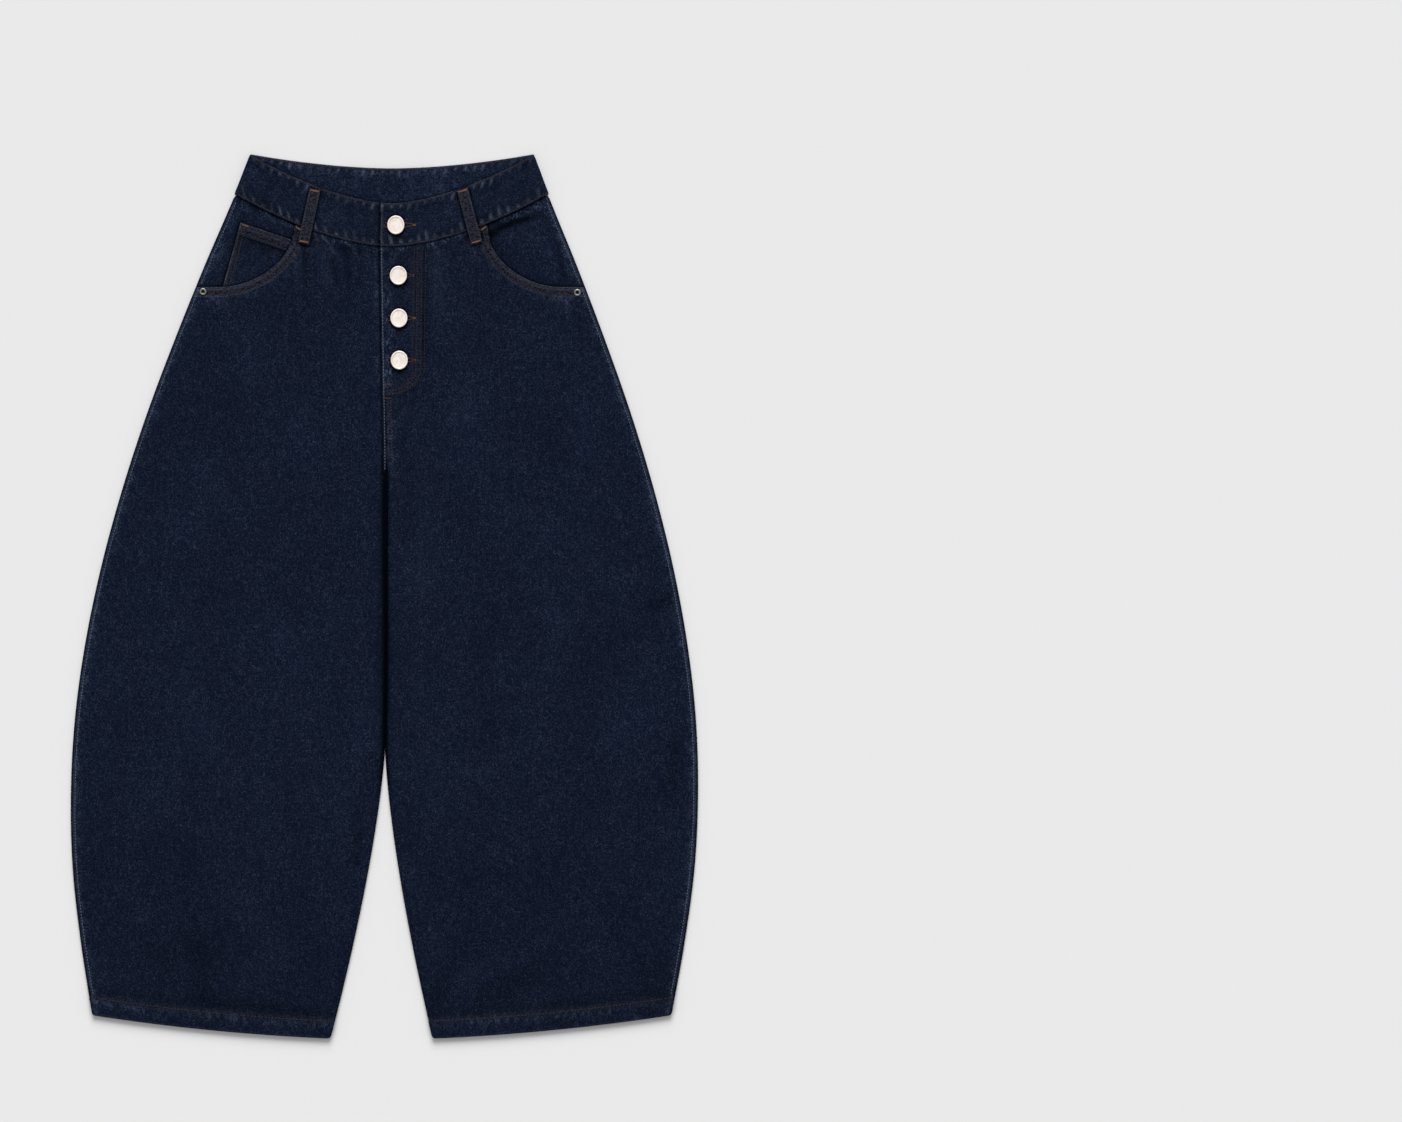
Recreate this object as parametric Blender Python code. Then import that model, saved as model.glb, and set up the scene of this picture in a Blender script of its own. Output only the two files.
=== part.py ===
"""Barrel leg trousers in dark denim, laid flat with the front up.

Every piece is drawn on the flat garment in millimetres: across, measured from the
centre line towards the wearer's left (+X), and drop, measured down from the corners
of the waist (-Y). Each piece of cloth is a wall between an underside and a top,
both heights above the surface on which the trousers lie.
"""
import math

import bmesh
import bpy
from mathutils import Vector
from mathutils.geometry import delaunay_2d_cdt

MM = 0.001

# Driving sizes of the garment, in millimetres
LENGTH = 1017.5          # waist corner to the lowest point of the hem
LEAN = 0.0118            # the laid garment leans: sideways shift for each mm of drop
WIDEST_DROP = 735.0      # where the barrel leg is widest
GAP = 0.3                # between pieces that touch
CLOTH = 1.2              # one layer of denim
BAND = 2.0               # waistband: two layers and their interlining
TRIM = 1.0               # back pockets, patch and back loops, pressed flat
HEM = 2.6                # the hem is turned twice
FLY = 2.2                # the fly facing is folded under, so the panel is double
SPACING = 30.0           # between points along a long curve
SEAM_STEP = 8.0          # between points along a waistband seam, shared by both sides
EDGE_MARGIN = 0.25       # a point nearer to an outline than this is left out

# Outline of a barrel leg. Columns: drop, distance from the centre line.
OUTSEAM = (
    (0.0, 162.0),
    (47.7, 180.5),
    (126.8, 213.5),
    (213.0, 247.3),
    (300.0, 278.9),
    (386.0, 305.9),
    (472.0, 328.3),
    (558.0, 345.4),
    (645.0, 356.6),
    (735.0, 360.5),
    (817.0, 357.7),
    (904.0, 347.3),
    (1000.0, 331.0),
)
HEM_OUTER = (333.0, 990.7)
HEM_INNER = (59.0, LENGTH)
HEM_BOW = 3.8
HEM_CORNER = 4.0
HEM_DEPTH = 19.5
CROTCH = 363.0           # below it the legs are two tubes that touch
LEGS_PART = 679.0        # below it they curve away from each other
PART_AT_HEM = 59.0
PART_POWER = 1.42
CORNER_REACH = 20.0      # up the seams from the hem, to aim its rounded corners

# Waistband edges: drop on the centre line, rise to the side and its power
SIDE_SEAM = 178.0
TOP_END = 162.4          # where the front band's top edge meets the side fold
SEAM_END = 179.6         # where the band's lower seam meets it
CLEAR_OF_SEAM = 0.4      # a panel's corner stays this far from the end of the side seam
FRONT_TOP = (57.5, 56.2, 161.8, 1.634)      # half width of the rise is its third number
FRONT_SEAM = (106.4, 59.2, SIDE_SEAM, 1.69)
BACK_TOP = (16.1, 16.1, 162.0, 1.75)
BACK_SEAM = (62.0, 14.8, SIDE_SEAM, 1.75)

# Curved opening of a front pocket: a quarter ellipse, then level to the outseam
SCOOP_CENTRE = (195.0, 83.8)
SCOOP_ACROSS = 84.5
SCOOP_DROP = 68.8
SCOOP_LOW = SCOOP_CENTRE[1] + SCOOP_DROP
FACING_LAP = 8.0         # how far the facing reaches under the panel
FACING_CLEAR = 9.0       # but not this near to the outseam, where both round down
FACING_EASE = 9.0
COIN_LAP = 5.0

# Fly: the wearer's left front lies over the right one
FLY_TOP = 106.4
FLY_END = 278.0
FLY_WIDTH = 37.0
LAP_EDGE_TOP = -11.5
LAP_EDGE_END = -4.0
LAP_END = 350.0
STAND_WIDTH = 18.0
STAND_LAP = 6.0
STAND_EASE = 30.0        # below the fly the stand narrows over this length

# Heights of the undersides above the surface
EDGE = 1.5               # a front panel at its side seam, on the back panel
CROWN = 4.6              # front panels and bands away from their edges
SCOOP_RISE = 1.0         # the pocket edge stands on facing and coin pocket
FACING = 2.8
COIN = 4.3
LAP_UNDER = 3.4          # the right front under the fly
FRONT_HEM = 3.2          # a front hem, on the back hem
BAND_EDGE = 3.6          # the front band at its side fold
BAND_LAP_UNDER = 3.6
BAND_LAP_OVER = 5.9
TRIM_RISE = TRIM + GAP
FLY_RISE = 2.1           # extra height of the left front where the fly is double
LAP_RISE = 0.6           # and where it lies over the stand below the fly

# Widths over which the cloth changes height
OUTER_ROLL = 14.0        # rounding down to the outseam
INNER_ROLL = 9.0
FOLD_ROLL = 8.0
ROLL_SHARES = (0.12, 0.45, 1.0)
RAMP = 4.0               # cloth bends this far over an edge under it
CROTCH_EASE = 40.0
LAP_EASE = 25.0          # the lap ends this far below the crotch
HEM_EASE = 25.0
HEM_STEP = 2.0
SCOOP_FLAT = 12.0
SCOOP_EASE = 35.0
FLY_RAMP = 7.0
LAP_RAMP = 12.0
DIP_WIDTH = 30.0         # the right front sinks this far from the centre line
DIP_RAMP = 16.0
BAND_DIP_WIDTH = 36.0
BAND_DIP_RAMP = 20.0
BAND_LIFT_RAMP = 28.0

# Back pocket. Columns: across, drop.
BACK_POCKET = (
    (32.8, 148.4),
    (179.6, 128.2),
    (188.0, 277.0),
    (125.0, 311.8),
    (57.5, 290.8),
)
COIN_TOP = ((173.0, 78.4), (118.0, 97.4))
COIN_FOOT = 194.0
PATCH = (96.0, 69.0)
LOOP_WIDTH = 13.0
BACK_LOOP_WIDTH = 12.0
LOOP_REACH = 5.0         # a loop stands on the highest cloth this near
FRONT_LOOP = ((84.2, 39.8), (99.8, 103.4))
BACK_LOOP = ((153.0, 3.5), (161.6, 66.0))

# Buttons: across and drop of each centre, from the waistband down
BUTTONS = ((5.7, 81.5), (9.3, 139.5), (10.5, 188.5), (11.5, 236.8))
BUTTON_RADIUS = 10.8
BUTTON_HEIGHT = 3.6
RIVETS = ((215.0, 159.0), (-215.0, 158.0))
RIVET_RADIUS = 4.0
RIVET_HEIGHT = 1.4


def clear_scene():
    for item in list(bpy.data.objects):
        bpy.data.objects.remove(item, do_unlink=True)


def material(name, colour, roughness, metallic=0.0):
    made = bpy.data.materials.new(name)
    made.use_nodes = True
    shader = made.node_tree.nodes["Principled BSDF"]
    shader.inputs["Base Color"].default_value = (*colour, 1.0)
    shader.inputs["Roughness"].default_value = roughness
    shader.inputs["Metallic"].default_value = metallic
    made.diffuse_color = (*colour, 1.0)
    return made


def lean(drop):
    return LEAN * (WIDEST_DROP - drop)


def place(across, drop, height):
    x = (across + lean(drop)) * MM
    y = (LENGTH / 2.0 - drop) * MM
    return Vector((x, y, height * MM))


def on_garment(point):
    """The across and drop of a placed point."""
    drop = LENGTH / 2.0 - point.y / MM
    return point.x / MM - lean(drop), drop


def clamp(value):
    return max(0.0, min(1.0, value))


def ease(value):
    t = clamp(value)
    return t * t * (3.0 - 2.0 * t)


def mix(a, b, share):
    return a + (b - a) * share


def smooth(rows, x):
    """A cubic curve through the rows of a table of two columns."""
    last = len(rows) - 1
    i = 0
    while i < last - 1 and x > rows[i + 1][0]:
        i += 1

    def slope(k):
        low, high = rows[max(k - 1, 0)], rows[min(k + 1, last)]
        return (high[1] - low[1]) / (high[0] - low[0])

    (x0, y0), (x1, y1) = rows[i], rows[i + 1]
    run = x1 - x0
    t = (x - x0) / run
    rise = y0 * (1.0 + 2.0 * t) * (1.0 - t) ** 2 + y1 * t * t * (3.0 - 2.0 * t)
    bend = slope(i) * t * (1.0 - t) ** 2 - slope(i + 1) * t * t * (1.0 - t)
    return rise + run * bend


def outseam(drop):
    return smooth(OUTSEAM, drop)


def inseam(drop):
    below = max(0.0, drop - LEGS_PART) / (LENGTH - LEGS_PART)
    return GAP / 2.0 + PART_AT_HEM * below ** PART_POWER


def hem(across):
    share = (HEM_OUTER[0] - abs(across)) / (HEM_OUTER[0] - HEM_INNER[0])
    straight = mix(HEM_OUTER[1], HEM_INNER[1], share)
    return straight + HEM_BOW * 4.0 * share * (1.0 - share)


def arch(edge, across):
    """Drop of a waistband edge, which is lowest on the centre line."""
    centre, rise, half, power = edge
    return centre - rise * (abs(across) / half) ** power


def steps(start, end, spacing=SPACING):
    count = max(1, round(abs(end - start) / spacing))
    return [mix(start, end, k / count) for k in range(count + 1)]


def lap_edge(drop):
    """Free edge of the left front, from the waistband to the crotch."""
    return mix(LAP_EDGE_TOP, LAP_EDGE_END, clamp((drop - FLY_TOP) / (LAP_END - FLY_TOP)))


def stand_edge(drop):
    """Hidden edge of the right front, under the left one."""
    narrow = ease((drop - FLY_END) / STAND_EASE)
    return mix(STAND_WIDTH, STAND_LAP, narrow)


def scoop(offset=0.0, count=9):
    """Points of the pocket opening, moved out of the opening by offset."""
    points = []
    for k in range(count + 1):
        angle = math.pi / 2.0 * k / count
        across = SCOOP_CENTRE[0] - (SCOOP_ACROSS + offset) * math.cos(angle)
        drop = SCOOP_CENTRE[1] + (SCOOP_DROP + offset) * math.sin(angle)
        points.append((across, drop))
    return points


def scoop_distance(across, drop):
    """How far a point on the panel lies from the pocket edge."""
    side = abs(across)
    if side > SCOOP_CENTRE[0]:
        return drop - SCOOP_LOW
    x = (side - SCOOP_CENTRE[0]) / SCOOP_ACROSS
    y = max(0.0, drop - SCOOP_CENTRE[1]) / SCOOP_DROP
    reach = math.hypot(x, y)
    return (reach - 1.0) * mix(SCOOP_DROP, SCOOP_ACROSS, abs(x) / max(reach, 0.001))


def rounded(before, corner, after, radius, count=3):
    """Points of an arc that takes the place of a sharp corner."""
    a, b, c = Vector(before), Vector(corner), Vector(after)
    start = b + (a - b).normalized() * radius
    end = b + (c - b).normalized() * radius
    arc = []
    for k in range(count + 1):
        t = k / count
        point = start * (1.0 - t) ** 2 + b * 2.0 * t * (1.0 - t) + end * t * t
        arc.append(tuple(point))
    return arc


def hem_edge():
    """The hem from the outseam to the inseam, with its rounded corners."""
    outer, inner = HEM_OUTER, (inseam(LENGTH), LENGTH)
    middle = [(a, hem(a)) for a in steps(outer[0], inner[0])[1:-1]]
    outer_drop, inner_drop = outer[1] - CORNER_REACH, inner[1] - CORNER_REACH
    above_outer = (outseam(outer_drop), outer_drop)
    above_inner = (inseam(inner_drop), inner_drop)
    first = rounded(above_outer, outer, middle[0], HEM_CORNER)
    last = rounded(middle[-1], inner, above_inner, HEM_CORNER)
    return first + middle + last


def leg_sides(top_drop):
    """Drops of the points down a leg, close together at the hem."""
    low = HEM_OUTER[1] - HEM_CORNER
    above = steps(top_drop, low - HEM_DEPTH - HEM_EASE)
    return above + [low - HEM_DEPTH, low - HEM_DEPTH / 2.0]


def mirrored(points, side):
    return [(side * across, drop) for across, drop in points]


def distance_to(polygon, across, drop):
    """Distance to a closed outline, negative inside it."""
    nearest, inside = 1e9, False
    for k, (ax, ay) in enumerate(polygon):
        bx, by = polygon[(k + 1) % len(polygon)]
        dx, dy = bx - ax, by - ay
        t = clamp(((across - ax) * dx + (drop - ay) * dy) / (dx * dx + dy * dy))
        nearest = min(nearest, math.hypot(across - ax - t * dx, drop - ay - t * dy))
        if (ay > drop) != (by > drop) and across < ax + (drop - ay) / dy * dx:
            inside = not inside
    return -nearest if inside else nearest


def grown(polygon, offset):
    """A convex outline moved outwards, with its corners kept."""
    centre = sum((Vector(p) for p in polygon), Vector((0.0, 0.0))) / len(polygon)
    lines = []
    for k, point in enumerate(polygon):
        a, b = Vector(point), Vector(polygon[(k + 1) % len(polygon)])
        normal = Vector(((b - a).y, -(b - a).x)).normalized()
        if normal.dot(a - centre) < 0.0:
            normal = -normal
        lines.append((a + normal * offset, (b - a).normalized()))
    corners = []
    for k, (point, along) in enumerate(lines):
        other, other_along = lines[k - 1]
        cross = other_along.x * along.y - other_along.y * along.x
        reach = ((point - other).x * along.y - (point - other).y * along.x) / cross
        corners.append(tuple(other + other_along * reach))
    return corners


def strip(ends, width):
    """A straight strap: its four corners from the two ends of its middle line."""
    a, b = Vector(ends[0]), Vector(ends[1])
    along = (b - a).normalized()
    half = Vector((along.y, -along.x)) * width / 2.0
    return [tuple(p) for p in (a - half, a + half, b + half, b - half)]


def crossing(outline, inner, outer):
    """Where a run from an inner point to an outer one meets the outline."""
    low, high = 0.0, 1.0
    for _ in range(24):
        t = (low + high) / 2.0
        point = (mix(inner[0], outer[0], t), mix(inner[1], outer[1], t))
        if distance_to(outline, *point) < 0.0:
            low = t
        else:
            high = t
    return mix(inner[0], outer[0], low), mix(inner[1], outer[1], low)


def runs_inside(line, outline):
    """The stretches of a line that lie inside an outline, up to its edge."""
    inside = [distance_to(outline, *point) < -EDGE_MARGIN for point in line]
    run = []
    for k, point in enumerate(line):
        if inside[k]:
            if k > 0 and not inside[k - 1]:
                run.append(crossing(outline, point, line[k - 1]))
            run.append(point)
        elif run:
            run.append(crossing(outline, line[k - 1], point))
            yield run
            run = []
    if len(run) > 1:
        yield run


def cloth(name, finish, outline, under, top, lines=()):
    """A wall of cloth over an outline, between an underside and a top."""
    points = [Vector(p) for p in outline]
    ring = list(range(len(points)))
    edges = [(k, (k + 1) % len(points)) for k in ring]
    for line in lines:
        for run in runs_inside(line, outline):
            first = len(points)
            points += [Vector(p) for p in run]
            edges += [(first + k, first + k + 1) for k in range(len(run) - 1)]
    flat = delaunay_2d_cdt(points, edges, [ring], 1, 0.01)
    shape = bmesh.new()
    corners = [shape.verts.new(place(p.x, p.y, under(p.x, p.y))) for p in flat[0]]
    for face in flat[2]:
        shape.faces.new([corners[k] for k in face])
    lower = set(shape.verts)
    bmesh.ops.extrude_face_region(shape, geom=shape.faces[:], use_keep_orig=True)
    for vert in shape.verts:
        if vert not in lower:
            vert.co = place(*on_garment(vert.co), top(*on_garment(vert.co)))
    bmesh.ops.recalc_face_normals(shape, faces=shape.faces[:])
    return finished(name, finish, shape)


def finished(name, finish, shape):
    mesh = bpy.data.meshes.new(name)
    shape.to_mesh(mesh)
    shape.free()
    mesh.materials.append(finish)
    made = bpy.data.objects.new(name, mesh)
    bpy.context.scene.collection.objects.link(made)
    return made


def turned(name, finish, profile, across, drop, height, sides=32):
    """A round piece turned from a closed profile of radius and height."""
    shape = bmesh.new()
    line = [shape.verts.new((r * MM, 0.0, z * MM)) for r, z in profile]
    edges = [shape.edges.new(pair) for pair in zip(line, line[1:])]
    bmesh.ops.spin(
        shape, geom=line + edges, cent=(0.0, 0.0, 0.0), axis=(0.0, 0.0, 1.0),
        angle=math.tau, steps=sides, use_merge=True, use_duplicate=False)
    bmesh.ops.remove_doubles(shape, verts=shape.verts[:], dist=0.00001)
    bmesh.ops.recalc_face_normals(shape, faces=shape.faces[:])
    bmesh.ops.translate(shape, verts=shape.verts[:], vec=place(across, drop, height))
    made = finished(name, finish, shape)
    made.data.shade_smooth()
    made.data.set_sharp_from_angle(angle=math.radians(40.0))
    return made


def patch_outline():
    half, top = PATCH[0] / 2.0, BACK_TOP[0] + GAP
    low = top + PATCH[1]
    return [(-half, top), (half, top), (half, low), (-half, low)]


def back_trims():
    """Outlines of the trims that lie under the backs."""
    trims = [patch_outline()]
    for side in (1.0, -1.0):
        trims.append(mirrored(BACK_POCKET, side))
        trims.append(mirrored(strip(BACK_LOOP, BACK_LOOP_WIDTH), side))
    return trims


BACK_TRIMS = back_trims()


def rise_over_trims(across, drop):
    nearest = min(distance_to(trim, across, drop) for trim in BACK_TRIMS)
    return TRIM_RISE * (1.0 - ease((nearest - GAP) / RAMP))


def trim_lines():
    """Lines just outside the trims, at the top and foot of the cloth's bend."""
    lines = []
    for trim in BACK_TRIMS:
        for offset in (GAP, GAP + RAMP):
            ring = grown(trim, offset)
            lines.append(dense(ring + ring[:1]))
    return lines


def dense(line, spacing=SPACING):
    """A line of straight runs, with points along each run."""
    points = []
    for (ax, ay), (bx, by) in zip(line, line[1:]):
        count = max(1, round(math.hypot(bx - ax, by - ay) / spacing))
        points += [(mix(ax, bx, k / count), mix(ay, by, k / count)) for k in range(count)]
    return points + [line[-1]]


def hem_share(across, drop, reach):
    """1 in the turned hem, 0 above it, with a slope that is reach long."""
    return ease((drop - hem(across) + HEM_DEPTH + reach) / reach)


def hem_lines(side):
    lines = []
    for above in (HEM_DEPTH, HEM_DEPTH + HEM_STEP, HEM_DEPTH + HEM_EASE):
        across = steps(HEM_OUTER[0] + 20.0, HEM_INNER[0] - 30.0)
        lines.append(mirrored([(a, hem(a) - above) for a in across], side))
    return lines


def roll(distance, width):
    """Height of a rounded edge, from 0 on the edge to 1 past its width."""
    t = clamp(distance / width)
    return math.sqrt(1.0 - (1.0 - t) ** 2)


def side_lines(side):
    """Lines beside both seams of a leg, where the cloth rounds down."""
    lines = []
    for share in ROLL_SHARES:
        drops = steps(10.0, LENGTH)
        outer = [(outseam(d) - share * OUTER_ROLL, d) for d in drops]
        inner_drops = steps(CROTCH - CROTCH_EASE, LENGTH)
        inner = [(inseam(d) + share * INNER_ROLL, d) for d in inner_drops]
        lines += [mirrored(outer, side), mirrored(inner, side)]
    return lines


def back_panel_under(across, drop):
    return rise_over_trims(across, drop)


def back_panel_top(across, drop):
    thick = mix(CLOTH, HEM, hem_share(across, drop, HEM_STEP))
    return back_panel_under(across, drop) + thick


def front_rise(across, drop):
    """Underside of a front panel: rounded down at the leg seams."""
    outer = roll(outseam(drop) - abs(across), OUTER_ROLL)
    legs = ease((drop - CROTCH) / CROTCH_EASE)
    inner = mix(1.0, roll(abs(across) - inseam(drop), INNER_ROLL), legs)
    near_hem = hem_share(across, drop, HEM_EASE)
    edge = mix(EDGE, HEM + GAP, near_hem)
    past_scoop = ease((scoop_distance(across, drop) - SCOOP_FLAT) / SCOOP_EASE)
    crown = CROWN + SCOOP_RISE * (1.0 - past_scoop)
    return mix(edge, crown, outer * inner)


def front_panel_under(across, drop):
    in_hem = hem_share(across, drop, HEM_STEP)
    return mix(front_rise(across, drop), FRONT_HEM, in_hem)


def front_panel_top(across, drop):
    thick = mix(CLOTH, HEM, hem_share(across, drop, HEM_STEP))
    return front_panel_under(across, drop) + thick


def fly_outline():
    """The fly facing: straight down, then round to the edge of the front."""
    left, top, middle = -30.0, FLY_TOP - 12.0, 2.0
    radius = FLY_WIDTH - middle
    points = [(left, top), (FLY_WIDTH, top)]
    for k in range(6):
        angle = math.pi / 2.0 * k / 5.0
        across = middle + radius * math.cos(angle)
        points.append((across, FLY_END - radius + radius * math.sin(angle)))
    points.append((left, FLY_END))
    return points


FLY_OUTLINE = fly_outline()


def fly_share(across, drop):
    """1 on the fly facing, 0 past the ramp around it."""
    return 1.0 - ease(distance_to(FLY_OUTLINE, across, drop) / FLY_RAMP)


def left_front_top(across, drop):
    """The left front is raised where it lies over the right one."""
    lap = 1.0 - ease((across - STAND_LAP - HEM_STEP) / LAP_RAMP)
    lap *= 1.0 - ease((drop - CROTCH) / LAP_EASE)
    rise = max(FLY_RISE * fly_share(across, drop), LAP_RISE * lap)
    return front_panel_top(across, drop) + rise


def left_front_under(across, drop):
    folded = (FLY - CLOTH) * fly_share(across, drop)
    thick = front_panel_top(across, drop) - front_panel_under(across, drop)
    return left_front_top(across, drop) - thick - folded


def right_front_dip(across, drop):
    """The right front sinks under the fly and the lapped seam."""
    near = ease((across + DIP_WIDTH) / DIP_RAMP)
    fade = 1.0 - ease((drop - CROTCH) / LAP_EASE)
    return (CROWN - LAP_UNDER) * near * fade


def right_front_under(across, drop):
    return front_panel_under(across, drop) - right_front_dip(across, drop)


def right_front_top(across, drop):
    return front_panel_top(across, drop) - right_front_dip(across, drop)


def front_panel_outline(side, inner_edge):
    """Band seam, pocket edge, outseam, hem and inseam, then up the centre front."""
    start, end = inner_edge(FLY_TOP), SCOOP_CENTRE[0] - SCOOP_ACROSS
    top = [(a, arch(FRONT_SEAM, a) + GAP) for a in steps(start, end, SEAM_STEP)]
    down = [(outseam(d), d) for d in leg_sides(SCOOP_LOW)]
    up = [(inseam(d), d) for d in reversed(leg_sides(CROTCH))]
    centre = [(inner_edge(d), d) for d in steps(LAP_END, FLY_TOP)[:-1]]
    return mirrored(top[:-1] + scoop() + down + hem_edge() + up + centre, side)


def build_front(denim):
    fly_rows = [dense(grown(FLY_OUTLINE, offset), 25.0) for offset in (0.0, FLY_RAMP)]
    lap_drops = steps(FLY_END - 20.0, CROTCH + 20.0, 20.0)
    lap_rows = [[(x, d) for d in lap_drops] for x in (8.0, 20.0)]
    dip_drops = steps(FLY_TOP - 30.0, CROTCH + 20.0)
    dip_rows = [[(x, d) for d in dip_drops] for x in (-30.0, -22.0, -14.0)]
    scoop_rows = []
    for offset in (SCOOP_FLAT, 29.0, SCOOP_FLAT + SCOOP_EASE):
        scoop_rows.append(scoop(offset) + [(225.0, SCOOP_LOW + offset)])
    left = front_panel_outline(1.0, lap_edge)
    lines = side_lines(1.0) + hem_lines(1.0) + fly_rows + lap_rows + scoop_rows
    cloth("front_left", denim, left, left_front_under, left_front_top, lines)
    right = front_panel_outline(-1.0, lambda d: -stand_edge(d))
    lines = side_lines(-1.0) + hem_lines(-1.0) + dip_rows
    lines += [mirrored(row, -1.0) for row in scoop_rows]
    cloth("front_right", denim, right, right_front_under, right_front_top, lines)


def build_back(denim):
    for name, side in (("back_left", 1.0), ("back_right", -1.0)):
        across = steps(GAP / 2.0, SIDE_SEAM - CLEAR_OF_SEAM, SEAM_STEP)
        top = [(a, arch(BACK_SEAM, a) + GAP) for a in across]
        start = arch(BACK_SEAM, SIDE_SEAM) + 8.0
        down = [(outseam(d), d) for d in leg_sides(start)]
        up = [(inseam(d), d) for d in reversed(leg_sides(CROTCH))]
        middle = [(GAP / 2.0, d) for d in steps(CROTCH - SPACING, 90.0)]
        outline = mirrored(top + down + hem_edge() + up + middle, side)
        lines = trim_lines() + hem_lines(side) + side_lines(side)[:2]
        cloth(name, denim, outline, back_panel_under, back_panel_top, lines)


def band_outline(top_edge, seam, from_across, to_across):
    """A stretch of waistband between two places; an end at the side fold follows it."""
    upper = steps(from_across[0], to_across[0], 2.0 * SEAM_STEP)
    lower = steps(to_across[1], from_across[1], SEAM_STEP)
    return [(a, arch(top_edge, a)) for a in upper] + [(a, arch(seam, a)) for a in lower]


def fold_distance(across, drop):
    return outseam(drop) - abs(across)


def fold_lines():
    lines = []
    for side in (1.0, -1.0):
        for share in ROLL_SHARES:
            fold = [(outseam(d) - share * FOLD_ROLL, d) for d in steps(-4.0, 60.0, 8.0)]
            lines.append(mirrored(fold, side))
    return lines


def back_band_under(across, drop):
    fold = TRIM_RISE * (1.0 - roll(fold_distance(across, drop), FOLD_ROLL))
    return max(fold, rise_over_trims(across, drop))


def back_band_top(across, drop):
    return back_band_under(across, drop) + BAND


def front_band_rise(across, drop):
    return mix(BAND_EDGE, CROWN, roll(fold_distance(across, drop), FOLD_ROLL))


def right_band_under(across, drop):
    dip = (CROWN - BAND_LAP_UNDER) * ease((across + BAND_DIP_WIDTH) / BAND_DIP_RAMP)
    return front_band_rise(across, drop) - dip


def right_band_top(across, drop):
    return right_band_under(across, drop) + BAND


def left_band_under(across, drop):
    past_stand = ease((across - STAND_WIDTH - HEM_STEP) / BAND_LIFT_RAMP)
    return front_band_rise(across, drop) + (BAND_LAP_OVER - CROWN) * (1.0 - past_stand)


def left_band_top(across, drop):
    return left_band_under(across, drop) + BAND


def build_waistband(denim):
    fold = (TOP_END, SEAM_END)
    drops = steps(40.0, 120.0, 12.0)
    lines = [[(x, d) for d in drops] for x in (-36.0, -26.0, -16.0, 20.0, 34.0, 48.0)]
    lines += fold_lines()
    left = band_outline(FRONT_TOP, FRONT_SEAM, (LAP_EDGE_TOP, LAP_EDGE_TOP), fold)
    cloth("waistband_front_left", denim, left, left_band_under, left_band_top, lines)
    ends = (-STAND_WIDTH, -STAND_WIDTH)
    right = mirrored(band_outline(FRONT_TOP, FRONT_SEAM, ends, fold), -1.0)
    cloth("waistband_front_right", denim, right, right_band_under, right_band_top, lines)
    ends = ((-BACK_TOP[2], -SEAM_END), (BACK_TOP[2], SEAM_END))
    back = band_outline(BACK_TOP, BACK_SEAM, *ends)
    lines = trim_lines() + fold_lines()
    cloth("waistband_back", denim, back, back_band_under, back_band_top, lines)


def facing_reach(across, drop):
    """The facing reaches under the panel, but not where both round down."""
    inward = outseam(drop) - abs(across)
    return mix(-GAP, FACING_LAP, ease((inward - FACING_CLEAR) / FACING_EASE))


def facing_under(across, drop):
    return mix(EDGE, FACING, roll(outseam(drop) - abs(across), OUTER_ROLL))


def facing_top(across, drop):
    return facing_under(across, drop) + CLOTH


def facing_foot():
    """Lower edge of the facing, from the outseam to the band seam."""
    points = []
    for inward in (0.0, 4.0, 9.0, 13.0, 18.0, 24.0):
        across = outseam(SCOOP_LOW) - inward
        points.append((across, SCOOP_LOW + facing_reach(across, SCOOP_LOW)))
    return points + list(reversed(scoop(FACING_LAP)))


def build_facings(denim):
    start = SCOOP_CENTRE[0] - SCOOP_ACROSS - FACING_LAP
    end = SIDE_SEAM + CLEAR_OF_SEAM
    top = [(a, arch(FRONT_SEAM, a) + GAP) for a in steps(start, end, SEAM_STEP)]
    drops = steps(arch(FRONT_SEAM, end) + 4.0, SCOOP_LOW - GAP, 16.0)[:-1]
    down = [(outseam(d), d) for d in drops]
    for name, side in (("pocket_facing_left", 1.0), ("pocket_facing_right", -1.0)):
        outline = mirrored(top + down + facing_foot(), side)
        cloth(name, denim, outline, facing_under, facing_top, side_lines(side)[::2])


def coin_under(across, drop):
    return COIN


def coin_top(across, drop):
    return COIN + TRIM


def build_coin_pocket(denim):
    """Only its outer top corner shows; the rest reaches under the panel."""
    outer, (inner, inner_drop) = COIN_TOP
    inner_end = (SCOOP_CENTRE[0] - SCOOP_ACROSS - 1.0, inner_drop + 2.5)
    foot = (COIN_FOOT, SCOOP_LOW + COIN_LAP)
    outline = [outer, inner_end]
    for across, drop in scoop(COIN_LAP, 18):
        if drop > inner_drop + 4.0 and across < COIN_FOOT:
            outline.append((across, drop))
    cloth("coin_pocket", denim, mirrored(outline + [foot], -1.0), coin_under, coin_top)


def build_back_pockets(denim):
    for name, side in (("back_pocket_left", 1.0), ("back_pocket_right", -1.0)):
        cloth(name, denim, mirrored(BACK_POCKET, side), flat_under, trim_top)


def flat_under(across, drop):
    return 0.0


def trim_top(across, drop):
    return TRIM


def front_surface(across, drop):
    """Highest cloth of the front at a place: waistband or panel."""
    on_band = drop < arch(FRONT_SEAM, across)
    if across > 0.0:
        return (left_band_top if on_band else left_front_top)(across, drop)
    return (right_band_top if on_band else right_front_top)(across, drop)


def surface_near(across, drop, reach):
    """Highest cloth within reach of a place."""
    around = [k * math.tau / 8.0 for k in range(8)]
    heights = [front_surface(across, drop)]
    for a in around:
        heights.append(front_surface(across + reach * math.cos(a), drop + reach * math.sin(a)))
    return max(heights)


def loop_under(across, drop):
    return surface_near(across, drop, LOOP_REACH) + GAP


def loop_top(across, drop):
    return loop_under(across, drop) + CLOTH


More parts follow.
